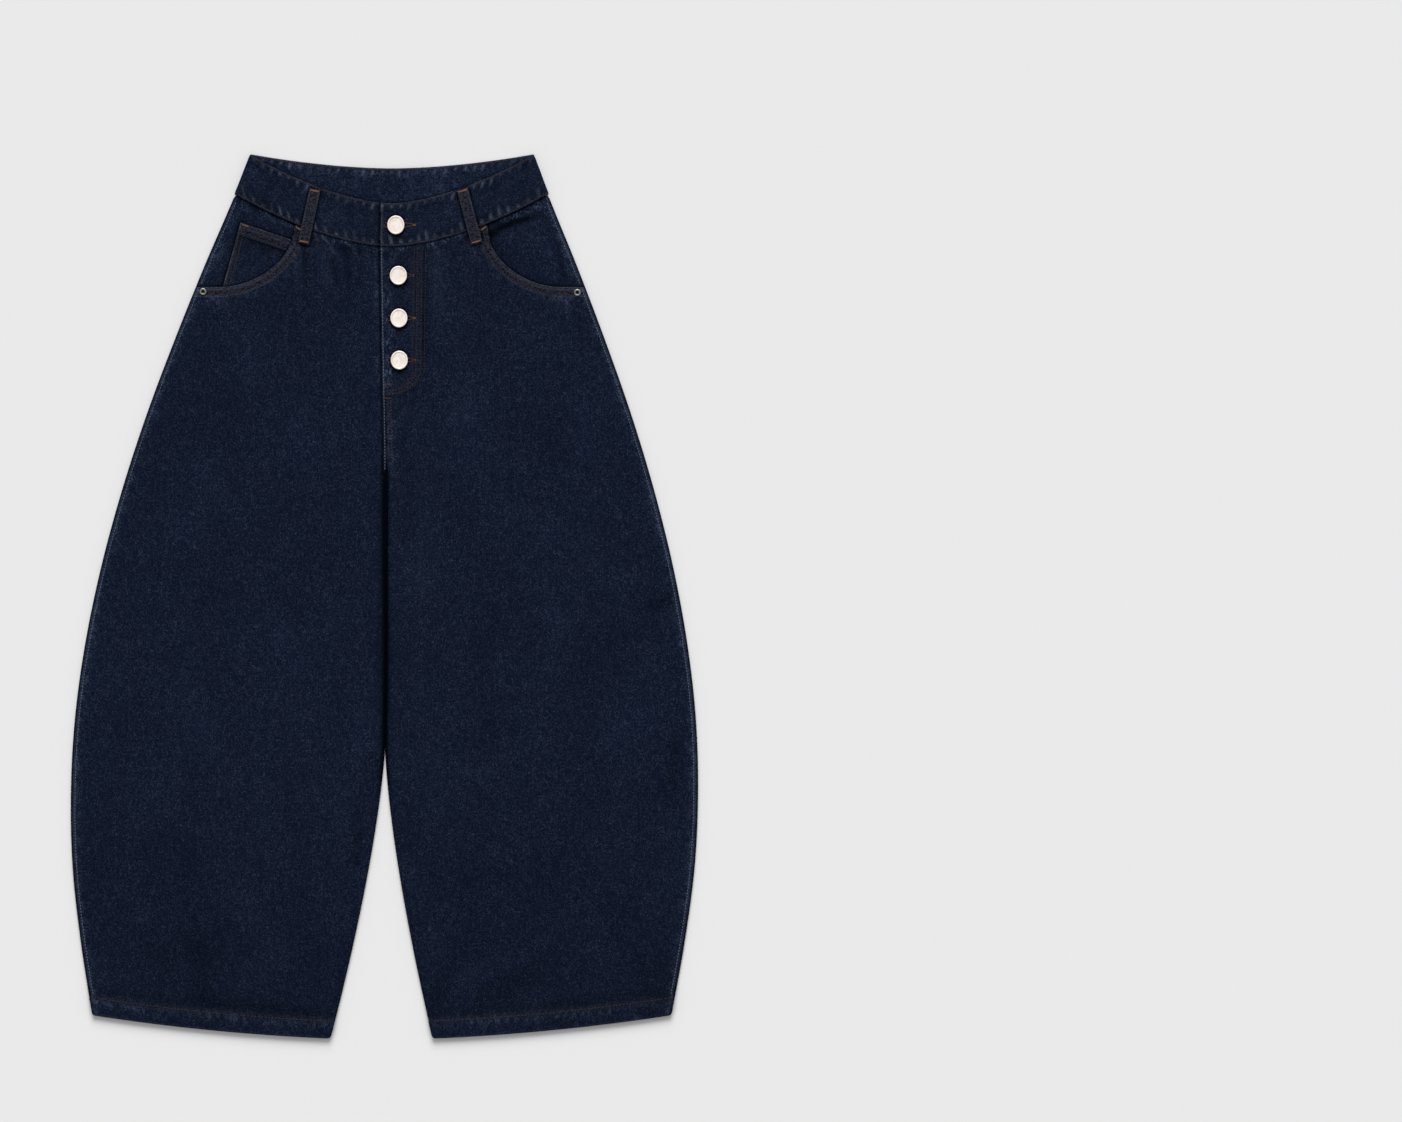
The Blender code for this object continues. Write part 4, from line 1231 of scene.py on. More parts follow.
# %% Facings and coin pocket
# Each row: two ends, half width, depth of the troughs round the sunken facing.
FACING_FOLDS = np.array([
    (114, 93, 125.8, 84.6, 5.6, 0.86),
    (125.8, 84.6, 139, 79, 5.2, 0.98),
    (139, 79, 157, 74, 4.4, 0.92),
    (157, 74, 170, 71.2, 3.4, 0.56),
    (172, 72, 183, 80, 4, 0.30),
    (183, 80, 189, 101, 4, 0.36),
    (189, 101, 196, 121, 3.6, 0.38),
    (196, 121, 198.5, 142, 3.6, 0.46)])


def facing_folds(across, drop):
    """The wearer's left pocket gapes, the right one is held flat by its coin pocket."""
    troughs = [row[5] * bump(segment_distance(across, drop, row[:4])[0], 0.0, row[4])
               for row in FACING_FOLDS]
    return np.max(troughs, axis=0) * (across > 0.0)


def facing_face(across, drop):
    base = mix(EDGE, 2.8, roll(outseam(drop) - np.abs(across), OUTER_ROLL)) + CLOTH
    seam = drop - arch(FRONT_SEAM, across)
    made = seam_relief(across, seam, 8.0, 0.16, seed=6.0) - 0.3 * bump(seam, 0.0, 1.0)
    side = outseam(drop) - np.abs(across)
    made += seam_relief(drop, side, 7.0, 0.12, (SIDE_ROW,), seed=1.0)
    return base + made - 0.8 * facing_folds(across, drop) * ease(side / 8.0)


def facing_marks(across, drop):
    side = outseam(drop) - np.abs(across)
    seam = drop - arch(FRONT_SEAM, across)
    pocket = scoop_distance(across, drop)
    above = ease((122.0 - 0.32 * np.abs(across) - drop) / 5.0)
    wear = 0.46 * uneven(drop, 1.0) ** 1.6 * bump(side, 3.4, 0.9)
    wear += 0.4 * crest_wear(drop, side, 6.0, 1.6, 1.0)
    streak = 0.9 * bump(seam, 3.0, 4.0) + 0.9 * bump(side, 8.5, 5.0) + 0.8 * above
    # Painted shadow under the band seam and beside the pocket edge, and painted shade along the outseam
    # and in the facing's troughs
    shade = 0.80 * bump(seam, 0.2, 1.4) + 0.70 * bump(pocket, -0.6, 1.4)
    shade += 0.22 * bump(pocket, -2.0, 6.0)
    shade += 0.22 * bump(side, 1.2, 1.6) + 0.35 * bump(side, 0.0, 0.7)
    shade += 0.95 * facing_folds(across, drop)
    below, inside = coin_edges(across, drop)
    outside = np.maximum(-below, -inside)
    # Painted shadow round the edges of the coin pocket
    coin = (across < 0.0) * (0.95 * bump(outside, 0.3, 1.7) + 0.14 * bump(outside, 3.0, 4.0))
    return {"wear": wear, "streak": streak, "shade": shade + coin * (outside > -2.0)}


def facing_places():
    """The facing reaches 8 mm under the panel, but not where both round down."""
    start = SCOOP_CENTRE[0] - SCOOP_ACROSS - 8.0
    top = arch_line(FRONT_SEAM, start, SIDE_SEAM + 0.4, 0.3)
    low_side = float(outseam(SCOOP_LOW - 0.3))
    inward = np.linspace(0.0, 26.0, 14)
    reach = mix(-0.3, 8.0, ease((inward - 9.0) / 9.0))
    level = pair(low_side - inward, SCOOP_LOW + reach)[::-1]
    bottom = np.concatenate([scoop(8.0, QUARTER)[:-1], level])
    left = np.array([top[0], bottom[0]])
    right = np.concatenate([top[-1:], seam_line(outseam, top[-1, 1] + 3.0, SCOOP_LOW - 0.3, 40)])
    s = shares_of(line_length(bottom), 2.4)
    t = shares_of(line_length(right), 2.4)
    return blend_edges(top, bottom, left, right, s, t)


both_sides("denim_facing_", "pocket_facing_", facing_places(), facing_face, even_wall(CLOTH),
           facing_marks)


def coin_face(across, drop):
    below, inside = coin_edges(across, drop)
    made = seam_relief(across, below, 12.0, 0.12, COIN_TOP_ROWS, seed=21.0)
    made += seam_relief(drop, inside, 7.0, 0.10, COIN_SIDE_ROWS, seed=22.0)
    made += 0.25 * (1.0 - ease((below - 10.0) / 2.5))
    return COIN_HEIGHT + TRIM + made + fold_over(below) + fold_over(inside)


def coin_marks(across, drop):
    below, inside = coin_edges(across, drop)
    wear = 0.42 * uneven(across, 21.0) * bump(below, 0.5, 0.8)
    wear += 0.36 * uneven(across, 21.5) * bump(below, 4.8, 0.8)
    wear += 0.30 * uneven(across, 22.0) * bump(below, 12.6, 0.8)
    wear += 0.85 * uneven(drop, 22.5) ** 1.5 * bump(inside, 0.5, 0.9)
    bound = 0.70 * ease((13.4 - below) / 1.5) + 0.45 * ease((8.6 - inside) / 1.5)
    # Painted shade below the top band and beside the pocket edge, and a little over the whole coin
    # pocket
    shade = 0.60 * bump(below, 14.6, 1.4) + 0.70 * bump(scoop_distance(across, drop), -0.6, 1.4)
    shade += 0.10 + 0.25 * bump(below, 18.0, 6.0)
    return {"wear": wear, "streak": 0.25, "bound": bound, "shade": shade}


def coin_places():
    foot = scoop(5.0, np.linspace(0.16, math.pi / 2.0, 60))
    foot = foot[(foot[:, 0] < COIN_FOOT[0]) & (foot[:, 1] > COIN_INNER[1] + 4.0)]
    top = np.array([(SCOOP_CENTRE[0] - SCOOP_ACROSS - 1.0, COIN_INNER[1] + 2.5), COIN_OUTER])
    bottom = np.concatenate([foot, [COIN_FOOT]])
    left = np.array([top[0], bottom[0]])
    right = np.array([COIN_OUTER, COIN_FOOT])
    s = shares_of(line_length(bottom), 1.6)
    t = shares_of(line_length(right), 1.6)
    return blend_edges(top, bottom, left, right, s, t)


places = mirrored(coin_places())
coin = cloth_piece("denim_coin_pocket", places, coin_face, even_wall(TRIM), denim,
                   "coin_pocket", marks=coin_marks)

# %% Back pockets and patch
def under_face(across, drop):
    return np.full(np.shape(across), LIFT)


def pocket_edge_distance(across, drop):
    return -outline_distance(BACK_POCKET, np.abs(across), drop)


def back_pocket_face(across, drop):
    inside = pocket_edge_distance(across, drop)
    return LIFT + 0.12 * bump(inside, 2.0, 0.9) - fold_over(inside, 0.9, 0.4)


def back_pocket_marks(across, drop):
    inside = pocket_edge_distance(across, drop)
    start, run = BACK_POCKET[0], unit(BACK_POCKET[1] - BACK_POCKET[0])
    below = (drop - start[1]) * run[0] - (np.abs(across) - start[0]) * run[1]
    wear = 0.50 * uneven(drop + across, 31.0) * bump(inside, 0.8, 0.8)
    wear += 0.30 * uneven(across, 32.0) * bump(below, 13.2, 0.8)
    bound = 0.50 * ease((13.8 - below) / 1.5) + 0.40 * ease((9.2 - inside) / 1.5)
    # The shade mark is painted shade below the hem band and along the side rows
    return {"wear": wear, "streak": 0.3 * bump(inside, 12.0, 6.0), "bound": bound,
            "shade": 0.45 * bump(below, 15.0, 1.3) + 0.25 * bump(inside, 10.4, 1.0)}


def back_pocket_places():
    top = np.array([BACK_POCKET[0], BACK_POCKET[1]])
    bottom = np.array([BACK_POCKET[4], BACK_POCKET[3], BACK_POCKET[2]])
    left, right = BACK_POCKET[[0, 4]], BACK_POCKET[[1, 2]]
    return blend_edges(top, bottom, left, right, shares_of(150.0, 3.0), shares_of(160.0, 3.0))


both_sides("denim_back_pocket_", "back_pocket_", back_pocket_places(), back_pocket_face,
           even_wall(TRIM - LIFT), back_pocket_marks, side="back")

# %% [markdown]
# The back patch
#
# The patch on the back of the band is a dark coated fibre sheet, almost the colour of the
# denim, smooth with a fine pore. It stays bare.

# %% Patch
PORE = 0.9           # mm, grain of the coated sheet, drawn coarser than the real 0.3 mm
patch_finish, tree, shader = new_material("coated_fibre_patch")
body = object_coords(tree)
pores = add_node(tree, "ShaderNodeTexVoronoi", {"Scale": 1000.0 / PORE}, {"Vector": body})
pore_bump = add_node(tree, "ShaderNodeBump", {"Strength": 0.35, "Distance": 0.0002}, {
    "Height": pores.outputs["Distance"]})
mottle = add_node(tree, "ShaderNodeTexNoise", {"Scale": 120.0, "Detail": 4.0}, {"Vector": body})
patch_colour = mixed(tree, mottle.outputs["Fac"], paint("0f1424"), paint("1a2136"))
tree.links.new(patch_colour, shader.inputs["Base Color"])
tree.links.new(pore_bump.outputs["Normal"], shader.inputs["Normal"])
set_inputs(shader, {"Roughness": 0.7, "Specular IOR Level": 0.2})

top, bottom = patch_outline[:2], patch_outline[[3, 2]]
places = blend_edges(top, bottom, patch_outline[[0, 3]], patch_outline[[1, 2]],
                     shares_of(PATCH[0], 4.0), shares_of(PATCH[1], 4.0))
cloth_piece("back_patch_sheet", places, under_face, even_wall(TRIM - LIFT), patch_finish,
            "back_patch", side="back")
print("patch of", PATCH[0], "x", PATCH[1], "mm")

# %% [markdown]
# Belt loops
#
# A loop is a narrow strap, folded in three and sewn down at its ends with bar tacks. It
# crosses the seam between band and panel, so it steps down with the cloth below it
# and stands clear of it in the middle.

# %% Belt loops
def front_face(across, drop):
    """Outer face of the front at a place, band or panel."""
    on_band = drop < arch(FRONT_SEAM, across)
    left = np.where(on_band, left_band(across, drop), left_front(across, drop))
    right = np.where(on_band, right_band(across, drop), right_front(across, drop))
    return np.where(across > lap_edge(drop), left, right)


def loop_frame(ends, way):
    """Middle line of a loop and its direction across."""
    a = np.array(ends[0]) * (way, 1.0)
    b = np.array(ends[1]) * (way, 1.0)
    direction = unit(b - a)
    return a, b, np.array([direction[1], -direction[0]])


def loop_places(ends, width, way):
    a, b, aside = loop_frame(ends, way)
    s = np.array([0.0, 0.04, 0.1, 0.18, 0.3, 0.42, 0.5, 0.58, 0.7, 0.82, 0.9, 0.96, 1.0])
    t = np.linspace(0.0, 1.0, 70)
    across = (s - 0.5) * width
    return (a + (b - a) * t[:, None])[:, None, :] + aside * across[None, :, None]


def make_front_loop(name, way):
    a, b, aside = loop_frame(FRONT_LOOPS[way], way)
    length = np.linalg.norm(b - a)
    run = unit(b - a)

    def surface(across, drop):
        rel = pair(across - a[0], drop - a[1])
        t, x = rel @ run, rel @ aside
        on_line = [front_face(a[0] + run[0] * t + aside[0] * k, a[1] + run[1] * t + aside[1] * k)
                   for k in (-6.0, -3.0, 0.0, 3.0, 6.0)]
        seat = np.max(on_line, axis=0)
        arched = 0.9 * np.sin(np.clip(t / length, 0.0, 1.0) * math.pi) ** 0.5
        edge = LOOP_WIDTH / 2.0 - np.abs(x)
        made = seat + 0.3 + CLOTH + arched + fold_over(edge, 1.3, 0.8)
        made = made - 0.2 * bump(edge, LOOP_ROW, 0.7) + 0.12 * waves(t, x, slant=0.9, seed=way)
        return made + fold_over(t, 1.0, 0.6) + fold_over(length - t, 1.0, 0.6)

    def marks(across, drop):
        rel = pair(across - a[0], drop - a[1])
        t, x = rel @ run, rel @ aside
        edge = LOOP_WIDTH / 2.0 - np.abs(x)
        wear = 0.04 + 0.32 * uneven(t, way) * bump(edge, 0.6, 0.8)
        # The shade mark is painted shade along the stitch rows
        return {"wear": wear, "streak": 0.3, "bound": 0.85, "shade": 0.30 * bump(edge, 2.2, 0.6)}

    tilt = math.atan2(run[0], run[1])
    places = loop_places(FRONT_LOOPS[way], LOOP_WIDTH, way)
    piece = cloth_piece("denim_loop_front_" + name, places, surface, even_wall(CLOTH), denim,
                        "belt_loop_front_" + name, marks=marks, turn=-tilt)
    return surface


def back_loop_marks(across, drop):
    edge = -outline_distance(strip(BACK_LOOP, LOOP_WIDTH - 1.0), np.abs(across), drop)
    return {"wear": 0.10 + 0.30 * uneven(drop) * bump(edge, 0.6, 0.8), "streak": 0.4, "bound": 0.85}


loop_faces = {name: make_front_loop(name, way) for name, way in SIDES}
for name, way in SIDES:
    places = loop_places(BACK_LOOP, LOOP_WIDTH - 1.0, way)
    piece = cloth_piece("denim_loop_back_" + name, places, under_face, even_wall(TRIM - LIFT),
                        denim, "belt_loop_back_" + name, marks=back_loop_marks, side="back")

# %% [markdown]
# Thread
#
# Jeans are sewn with thick polyester-cotton thread in a rust brown that is hard to see on
# the dark cloth, and with a brighter orange one for the bar tacks. Every stitch here is a
# small spindle that lies in its groove. One spindle is made once and copied along
# each row.

# %% Thread materials and one stitch
THREAD = 0.8         # mm, thick topstitching thread, as it swells between its holes
STITCH = 2.9         # mm from hole to hole
PITCH = 3.5
HEM_STITCH, HEM_PITCH = 3.2, 4.0
UNDERSIDE = -0.10    # mm, stitches of the back lie pressed flat between cloth and table
FLAT = 0.35


def thread_material(name, code, pale):
    """Twisted matte thread, mottled at random; its darker patches are painted shade between the plies.
    """
    made, tree, shader = new_material(name)
    twist = add_node(tree, "ShaderNodeTexNoise", {"Scale": 900.0, "Detail": 2.0}, {
        "Vector": object_coords(tree)}).outputs["Fac"]
    tree.links.new(mixed(tree, twist, paint(code), paint(pale)), shader.inputs["Base Color"])
    set_inputs(shader, {"Roughness": 0.75, "Specular IOR Level": 0.15})
    return made


rust = thread_material("rust_brown_thread", "231b1f", "503f3c")
umber = thread_material("umber_buttonhole_thread", "171210", "6a4c3a")
orange = thread_material("orange_bar_tack_thread", "5a3826", "9a6c46")
ash = thread_material("blue_grey_thread", "333c4e", "757f94")

shape = bmesh.new()
bmesh.ops.create_uvsphere(shape, u_segments=6, v_segments=4, radius=1.0)
spindle = bpy.data.meshes.new("spindle")
shape.to_mesh(spindle)
shape.free()
print("one stitch has", len(spindle.polygons), "faces")


def resample(points, pitch):
    """Middles of stitches along a line, and their directions."""
    length = line_length(points)
    count = max(1, int(length / pitch))
    shares = (np.arange(count) + 0.5) / count
    half = 0.5 * STITCH / length
    ahead = along(points, np.minimum(shares + half, 1.0))
    return along(points, shares), ahead - along(points, np.maximum(shares - half, 0.0))


def add_stitch(shape, centre, direction, length, width=THREAD, tall=0.8):
    """Copies the spindle to a place, along a direction, with the table's Z as up."""
    forward = Vector(direction).normalized()
    aside = Vector((0.0, 0.0, 1.0)).cross(forward).normalized()
    up = forward.cross(aside)
    scale = (length / 2.0 * MM, width / 2.0 * MM, width * tall / 2.0 * MM)
    turn = Matrix((forward * scale[0], aside * scale[1], up * scale[2])).transposed().to_4x4()
    turn.translation = Vector(centre)
    spindle.transform(turn)
    shape.from_mesh(spindle)
    spindle.transform(turn.inverted())


def sew(shape, points, surface, pitch=PITCH, length=STITCH, width=THREAD, under=False):
    """A row of stitches along a line of places, on a surface or pressed flat under it."""
    def on_surface(places, above):
        return place(places[:, 0], places[:, 1], surface(places[:, 0], places[:, 1]) + above)

    middles, directions = resample(points, pitch)
    centres = on_surface(middles, UNDERSIDE if under else width * 0.3 + 0.15)
    slopes = on_surface(middles + directions / 2.0, 0.0) - on_surface(middles - directions / 2.0, 0.0)
    if under:
        slopes[:, 2] = 0.0
    for centre, slope in zip(centres, slopes):
        add_stitch(shape, centre, slope, length, width, FLAT if under else 0.8)


def thread_piece(name, shape, finish):
    mesh = bpy.data.meshes.new(name)
    shape.to_mesh(mesh)
    shape.free()
    mesh.materials.append(finish)
    mesh.shade_smooth()
    piece = new_object(name, mesh)
    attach(piece, "root")
    print(name, len(mesh.polygons), "faces")


# %% Rows on the fronts
def offset_line(points, distance):
    """A line of places moved to its right by a distance."""
    points = np.asarray(points, float)
    direction = np.gradient(points, axis=0)
    direction /= np.linalg.norm(direction, axis=1)[:, None]
    return points + pair(-direction[:, 1], direction[:, 0]) * distance


def hem_row(way):
    across = np.linspace(HEM_INNER[0], HEM_OUTER[0] - 1.5, 120)
    return pair(way * across, hem(across) - HEM_ROW)


def side_row(way, start, end, count=300):
    return seam_line(outseam, start, end, count, -SIDE_ROW) * (way, 1.0)


def scoop_row(distance, way):
    row = scoop(distance, np.linspace(0.03, math.pi / 2.0, 50))
    end = [(float(outseam(SCOOP_LOW + distance)) - 13.0, SCOOP_LOW + distance)]
    return np.concatenate([row, end]) * (way, 1.0)


# Each row: how far out it runs, how low, and the height of its bend.
FLY_ROWS = ((27.0, 272.0, 23.0), (30.5, 272.6, 25.0), (36.0, 276.0, 28.0), (40.0, 276.6, 30.0))


def fly_row(out, low, bend):
    """One row of the fly: straight down, then a quarter ellipse in to the edge."""
    straight = pair(out, np.linspace(FLY_TOP + 2.0, low - bend, 40))
    angle = np.linspace(0.0, math.pi / 2.0, 24)[1:]
    inner = float(lap_edge(low)) + 3.0
    turn = pair(inner + (out - inner) * np.cos(angle), low - bend + bend * np.sin(angle))
    return np.concatenate([straight, turn])


shape = bmesh.new()
for way in (1.0, -1.0):
    for distance in POCKET_ROWS:
        sew(shape, scoop_row(distance, way), FRONTS[way])
for out, low, bend in FLY_ROWS:
    sew(shape, fly_row(out, low, bend), left_front, width=0.55)
for distance in (5.7, 9.1):
    sew(shape, seam_line(lap_edge, FLY_END + 4.0, CROTCH - 12.0, 40, distance), left_front)
thread_piece("thread_front_rust", shape, rust)

shape = bmesh.new()
sew(shape, seam_line(lap_edge, FLY_TOP + 2.0, CROTCH, 80, LAP_ROW), left_front)
for way in (1.0, -1.0):
    sew(shape, side_row(way, SCOOP_LOW + 3.0, SIDE_ROW_END), FRONTS[way])
    start = float(arch(FRONT_SEAM, SIDE_SEAM)) + 8.0
    sew(shape, side_row(way, start, SCOOP_LOW - 3.0, 60), facing_face)
thread_piece("thread_front_ash", shape, ash)

shape = bmesh.new()
for way in (1.0, -1.0):
    sew(shape, hem_row(way), FRONTS[way], HEM_PITCH, HEM_STITCH)
thread_piece("thread_hem_rust", shape, rust)

# %% Rows on band, pocket and loops
shape = bmesh.new()
for way, start in ((1.0, LAP_EDGE_TOP + 2.0), (-1.0, 13.0)):
    upper = arch_line(FRONT_TOP, start, FRONT_TOP[2] - 3.0, TOP_ROW, 150)
    lower = arch_line(FRONT_SEAM, start, SIDE_SEAM - 2.0, -SEAM_ROW, 150)
    for row in (upper, lower):
        sew(shape, row * (way, 1.0), BANDS[way])
drop = np.linspace(float(arch(FRONT_TOP, LAP_EDGE_TOP)) + 3.0, FLY_TOP - 2.0, 30)
sew(shape, pair(LAP_EDGE_TOP + 2.0, drop), left_band)
sew(shape, arch_line(BACK_TOP, -BACK_TOP[2] + 4.0, BACK_TOP[2] - 4.0, TOP_ROW, 200), back_band_inside)
thread_piece("thread_band_rust", shape, rust)

shape = bmesh.new()
coin_top = np.array([COIN_INNER, COIN_OUTER])
coin_side = np.array([COIN_OUTER, COIN_FOOT])
for distance, start in zip(COIN_TOP_ROWS, (0.06, 0.08)):
    row = along(offset_line(coin_top, distance), np.linspace(start, 0.97, 20))
    sew(shape, mirrored(row), coin_face)
for distance in COIN_SIDE_ROWS:
    row = along(offset_line(coin_side, distance), np.linspace(0.03, 0.90, 20))
    sew(shape, mirrored(row), coin_face)
for name, way in SIDES:
    a, b, aside = loop_frame(FRONT_LOOPS[way], way)
    for x in (-LOOP_WIDTH / 2.0 + LOOP_ROW, LOOP_WIDTH / 2.0 - LOOP_ROW):
        row = along([a + aside * x, b + aside * x], np.linspace(0.05, 0.95, 20))
        sew(shape, row, loop_faces[name])
thread_piece("thread_pocket_loop_rust", shape, rust)

# %% Rows on the back
def inset(polygon, distance):
    """A closed outline moved inwards, corner by corner."""
    made = []
    for k, corner in enumerate(polygon):
        a, b = unit(polygon[k - 1] - corner), unit(polygon[(k + 1) % len(polygon)] - corner)
        made.append(corner + (a + b) * distance / abs(a[0] * b[1] - a[1] * b[0]))
    return np.array(made)


BAND_ROW_START = PATCH[0] / 2.0 + 2.5
shape = bmesh.new()
drop = np.linspace(PATCH_TOP + PATCH[1] + 3.0, CROTCH - 2.0, 60)
for across in (2.2, 8.4):
    sew(shape, pair(across, drop), back_face, under=True)
for way in (1.0, -1.0):
    for distance in (2.0, 8.0):
        row = inset(BACK_POCKET, distance)[[0, 4, 3, 2, 1]]
        row[0] += unit(row[0] - row[1]) * (distance - 2.0)
        row[4] += unit(row[4] - row[3]) * (distance - 2.0)
        sew(shape, row * (way, 1.0), back_pocket_face, under=True)
    for distance in (2.0, 12.0):
        row = along(offset_line(BACK_POCKET[:2], distance), np.linspace(0.02, 0.98, 20))
        sew(shape, row * (way, 1.0), back_pocket_face, under=True)
    a, b, aside = loop_frame(BACK_LOOP, way)
    for x in (-3.8, 3.8):
        row = along([a + aside * x, b + aside * x], np.linspace(0.06, 0.94, 20))
        sew(shape, row, under_face, under=True)
    upper = arch_line(BACK_TOP, BAND_ROW_START, 144.0, TOP_ROW, 60)
    lower = arch_line(BACK_SEAM, BAND_ROW_START, 150.0, -SEAM_ROW, 60)
    for row in (upper, lower):
        sew(shape, row * (way, 1.0), back_band_outside, under=True)
    sew(shape, hem_row(way), back_face, HEM_PITCH, HEM_STITCH, under=True)
thread_piece("thread_back_rust", shape, rust)

shape = bmesh.new()
edge = inset(patch_outline, 1.5)
sew(shape, np.concatenate([edge, edge[:1]]), under_face, under=True)
for way in (1.0, -1.0):
    row = side_row(way, float(arch(BACK_SEAM, SIDE_SEAM)) + 8.0, SIDE_ROW_END)
    sew(shape, row, back_face, under=True)
thread_piece("thread_back_ash", shape, ash)

# %% [markdown]
# Bar tacks and buttonholes
#
# A bar tack is a tight bundle of crossing stitches where a seam takes strain. A keyhole
# buttonhole is edged all round with thread, and most of it is hidden under the button.

# %% Bar tacks
TACK_PITCH = 0.62
BUTTON_SEATS = (left_band, left_front, left_front, left_front)


def bar_tack(shape, start, end, width, surface, under=False):
    """Close stitches side by side from one place to another, each as long as width."""
    start, end = np.array(start, float), np.array(end, float)
    length = np.linalg.norm(end - start)
    direction = (end - start) / length
    aside = np.array([-direction[1], direction[0]])
    count = max(3, int(length / TACK_PITCH))
    for k in range(count):
        middle = start + direction * (k + 0.5) / count * length
        lean_by = direction * (0.35 if k % 2 else -0.35)
        a, b = middle - aside * width / 2.0 - lean_by, middle + aside * width / 2.0 + lean_by
        level = float(surface(middle[0], middle[1])) + (UNDERSIDE if under else 0.22)
        ends = place(np.array([a[0], b[0]]), np.array([a[1], b[1]]), level)
        centre = place(middle[0], middle[1], level)
        add_stitch(shape, centre, ends[1] - ends[0], width, 0.75, FLAT if under else 0.7)


shape = bmesh.new()
for name, way in SIDES:
    a, b, aside = loop_frame(FRONT_LOOPS[way], way)
    run = unit(b - a)
    for middle in (a + run * 2.6, b - run * 2.8):
        bar_tack(shape, middle - aside * 4.9, middle + aside * 4.9, 2.4, loop_faces[name])
scoop_start = scoop(0.0, np.array([0.02]))[0]
for way in (1.0, -1.0):
    first = scoop_start + (-6.8, 2.4)
    bar_tack(shape, first * (way, 1.0), (first + (5.4, -3.4)) * (way, 1.0), 1.9, FRONTS[way])
corner_in = np.array(COIN_OUTER) + (-9.0, 5.0)
bar_tack(shape, corner_in * (-1.0, 1.0), (corner_in + (7.0, -2.4)) * (-1.0, 1.0), 1.9, coin_face)
for number in (0, 2):
    across, drop = BUTTONS[number]
    end = across + BUTTONHOLE_REACH[number]
    bar_tack(shape, (end - 2.6, drop), (end, drop), 1.7, BUTTON_SEATS[number])
thread_piece("thread_bar_tacks_orange", shape, orange)

shape = bmesh.new()
for way in (1.0, -1.0):
    a, b, aside = loop_frame(BACK_LOOP, way)
    run = unit(b - a)
    for middle in (a + run * 2.2, b - run * 2.2):
        bar_tack(shape, middle - aside * 4.6, middle + aside * 4.6, 2.0, under_face, under=True)
    inner, outer = inset(BACK_POCKET, 1.8)[:2]
    slope = unit(outer - inner)
    for start in (inner, outer - slope * 7.0):
        end = start + slope * 7.0
        bar_tack(shape, start * (way, 1.0), end * (way, 1.0), 1.9, under_face, under=True)
thread_piece("thread_bar_tacks_back", shape, orange)

# %% Buttonholes
SLIT = 0.35          # mm, half of the open slit between the two edges


def buttonhole(shape, across, drop, right, surface):
    """Thread all round a slit that runs across; the shank holds it open beside the button."""
    left = across - BUTTON_RADIUS - 1.2
    for way in (1.0, -1.0):
        for x in np.arange(left, right, 0.74):
            reach = mix(1.7, 1.1, ease((x - right + 9.0) / 8.0))
            gape = mix(1.7, SLIT, ease((x - across - 8.0) / (right - across - 10.5)))
            y = drop + way * (gape + reach / 2.0)
            centre = place(x, y, float(surface(x, y)) + 0.2)
            add_stitch(shape, centre, (0.16 * way, 1.0, 0.0), reach, 0.7, 0.75)
    for angle in np.linspace(-1.2, 1.2, 7):
        x, y = right + 0.5 * math.cos(angle), drop + 1.0 * math.sin(angle)
        centre = place(x, y, float(surface(x, y)) + 0.22)
        add_stitch(shape, centre, (math.cos(angle), -math.sin(angle), 0.0), 1.8, 0.7, 0.75)


shape = bmesh.new()
for number, (across, drop) in enumerate(BUTTONS):
    buttonhole(shape, across, drop, across + BUTTONHOLE_REACH[number], BUTTON_SEATS[number])
stub = (BUTTONS[0][0] - BUTTON_RADIUS - 3.8, BUTTONS[0][1] + 1.8)
bar_tack(shape, stub, (stub[0] + 2.2, stub[1]), 2.6, left_band)
for drop in (264.5, 280.5):
    edge = float(lap_edge(drop))
    bar_tack(shape, (edge + 2.0, drop), (edge + 9.5, drop), 1.9, left_front)
thread_piece("thread_buttonholes_umber", shape, umber)

# %% [markdown]
# Buttons
#
# The buttons are cast resin with pearl powder: a shallow dish inside a raised, polished
# rim. The powder swirls as it sets, so the cream shifts a little to pink and grey. A darker
# beige ring where the dish meets the rim is painted shade.

# %% Button material and shape
def share_of_radius(tree):
    """On a turned piece: 0 on its axis, 1 on its rim."""
    turned = add_node(tree, "ShaderNodeUVMap", {"uv_map": "turned"}).outputs["UV"]
    return add_node(tree, "ShaderNodeSeparateXYZ", {}, {"Vector": turned}).outputs["X"]


pearl, tree, shader = new_material("cast_pearl_resin")
swirl = add_node(tree, "ShaderNodeTexNoise", {"Scale": 140.0, "Detail": 3.0, "Distortion": 1.2}, {
    "Vector": object_coords(tree)})
out = share_of_radius(tree)
cream = mixed(tree, ranged(tree, swirl.outputs["Fac"], 0.35, 0.65), paint("ebddd2"), paint("f7f1ea"))
# Painted shade: a darker beige ring in the groove between dish and rim
seat = combined(tree, "MULTIPLY", ranged(tree, out, 0.70, 0.80), ranged(tree, out, 0.80, 0.90, 1.0, 0.0))
cream = mixed(tree, combined(tree, "MULTIPLY", seat, 0.24), cream, paint("a8917f"))
tree.links.new(cream, shader.inputs["Base Color"])
set_inputs(shader, {"Roughness": 0.32, "IOR": 1.52, "Coat Weight": 0.3, "Coat Roughness": 0.15})


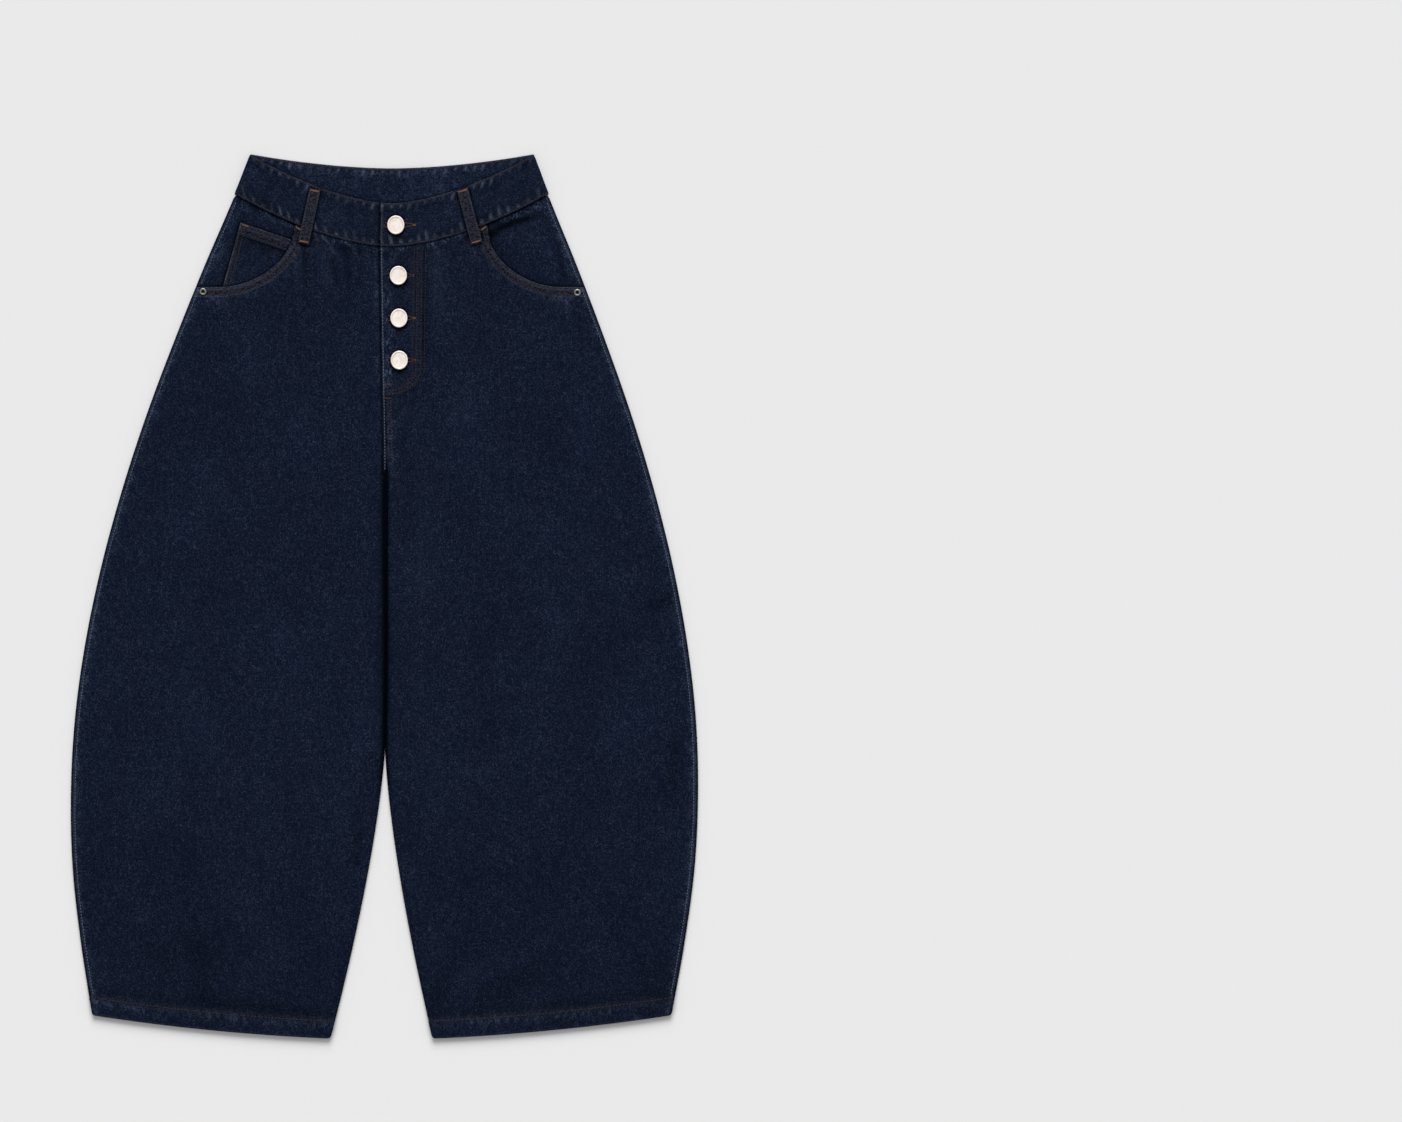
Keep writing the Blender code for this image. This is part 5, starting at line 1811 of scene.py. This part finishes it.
def turned_piece(name, profile, node, finish, sides=64, squash=1.0):
    """Spins a profile of radius and height on a solid's seat, round or a little oval."""
    low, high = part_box(node)
    base = ((low.x + high.x) / 2.0, (low.y + high.y) / 2.0, low.z)
    shape = bmesh.new()
    line = [shape.verts.new((r * MM, 0.0, z * MM)) for r, z in profile]
    edges = [shape.edges.new(pair) for pair in zip(line, line[1:])]
    bmesh.ops.spin(shape, geom=line + edges, cent=(0.0, 0.0, 0.0), axis=(0.0, 0.0, 1.0),
                   angle=math.tau, steps=sides, use_merge=True, use_duplicate=False)
    bmesh.ops.remove_doubles(shape, verts=shape.verts[:], dist=0.00001)
    bmesh.ops.recalc_face_normals(shape, faces=shape.faces[:])
    reach = max(r for r, z in profile) * MM
    layer = shape.loops.layers.uv.new("turned")
    for face in shape.faces:
        for loop in face.loops:
            loop[layer].uv = (math.hypot(loop.vert.co.x, loop.vert.co.y) / reach, 0.5)
    bmesh.ops.scale(shape, verts=shape.verts[:], vec=(squash, 1.0, 1.0))
    bmesh.ops.translate(shape, verts=shape.verts[:], vec=Vector(base))
    mesh = bpy.data.meshes.new(name)
    shape.to_mesh(mesh)
    shape.free()
    mesh.materials.append(finish)
    mesh.shade_smooth()
    mesh.set_sharp_from_angle(angle=math.radians(60.0))
    piece = new_object(name, mesh)
    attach(piece, "root")
    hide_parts(node)


def rim_profile(radius, height):
    """Flat back, rounded side and rim, and a shallow dish inside it."""
    r, h = radius, height
    side = [(0.0, 0.0), (0.60 * r, 0.0), (0.80 * r, 0.08 * h), (0.93 * r, 0.28 * h)]
    angles = np.linspace(-0.5, math.pi * 0.75, 12)
    rim = [(0.90 * r + 0.10 * r * math.cos(a), 0.70 * h + 0.30 * h * math.sin(a)) for a in angles]
    dish = [(k * r, (0.82 + 0.06 * (k / 0.8) ** 4) * h) for k in (0.76, 0.66, 0.5, 0.3, 0.15, 0.0)]
    return side + rim + dish


for number in range(1, len(BUTTONS) + 1):
    node = "button_%d" % number
    turned_piece("pearl_" + node, rim_profile(BUTTON_RADIUS, BUTTON_HEIGHT), node, pearl,
                 squash=BUTTON_SQUASH)
print("buttons:", len(BUTTONS))

# %% [markdown]
# Rivets
#
# The rivets at the pocket ends are stamped, nickel-plated and given a dark antique wash. It
# stays in the hollow and wears off the ring, so the ring is bright and the middle almost black.

# %% Rivets
RIVET, RIVET_HEIGHT = 4.0, 1.4      # mm, radius and height
rivet_finish, tree, shader = new_material("antique_nickel_stamped")
wash = add_node(tree, "ShaderNodeTexNoise", {"Scale": 900.0, "Detail": 3.0}, {
    "Vector": object_coords(tree)})
worn = ranged(tree, share_of_radius(tree), 0.42, 0.62)
bright = mixed(tree, wash.outputs["Fac"], paint("6c6c66"), paint("aaaba6"))
tree.links.new(mixed(tree, worn, paint("201f1c"), bright), shader.inputs["Base Color"])
set_inputs(shader, {"Metallic": 1.0, "Roughness": 0.42})
ring = [(0.72 + 0.28 * math.cos(angle), 0.55 + 0.45 * math.sin(angle))
        for angle in np.linspace(-0.6, math.pi * 0.95, 12)]
shares = [(0.0, 0.0), (0.9, 0.0)] + ring + [(0.38, 0.3), (0.2, 0.42), (0.0, 0.45)]
profile = [(r * RIVET, h * RIVET_HEIGHT) for r, h in shares]
for node in ("rivet_left", "rivet_right"):
    turned_piece("nickel_" + node, profile, node, rivet_finish, 40)
print("rivets: 2")
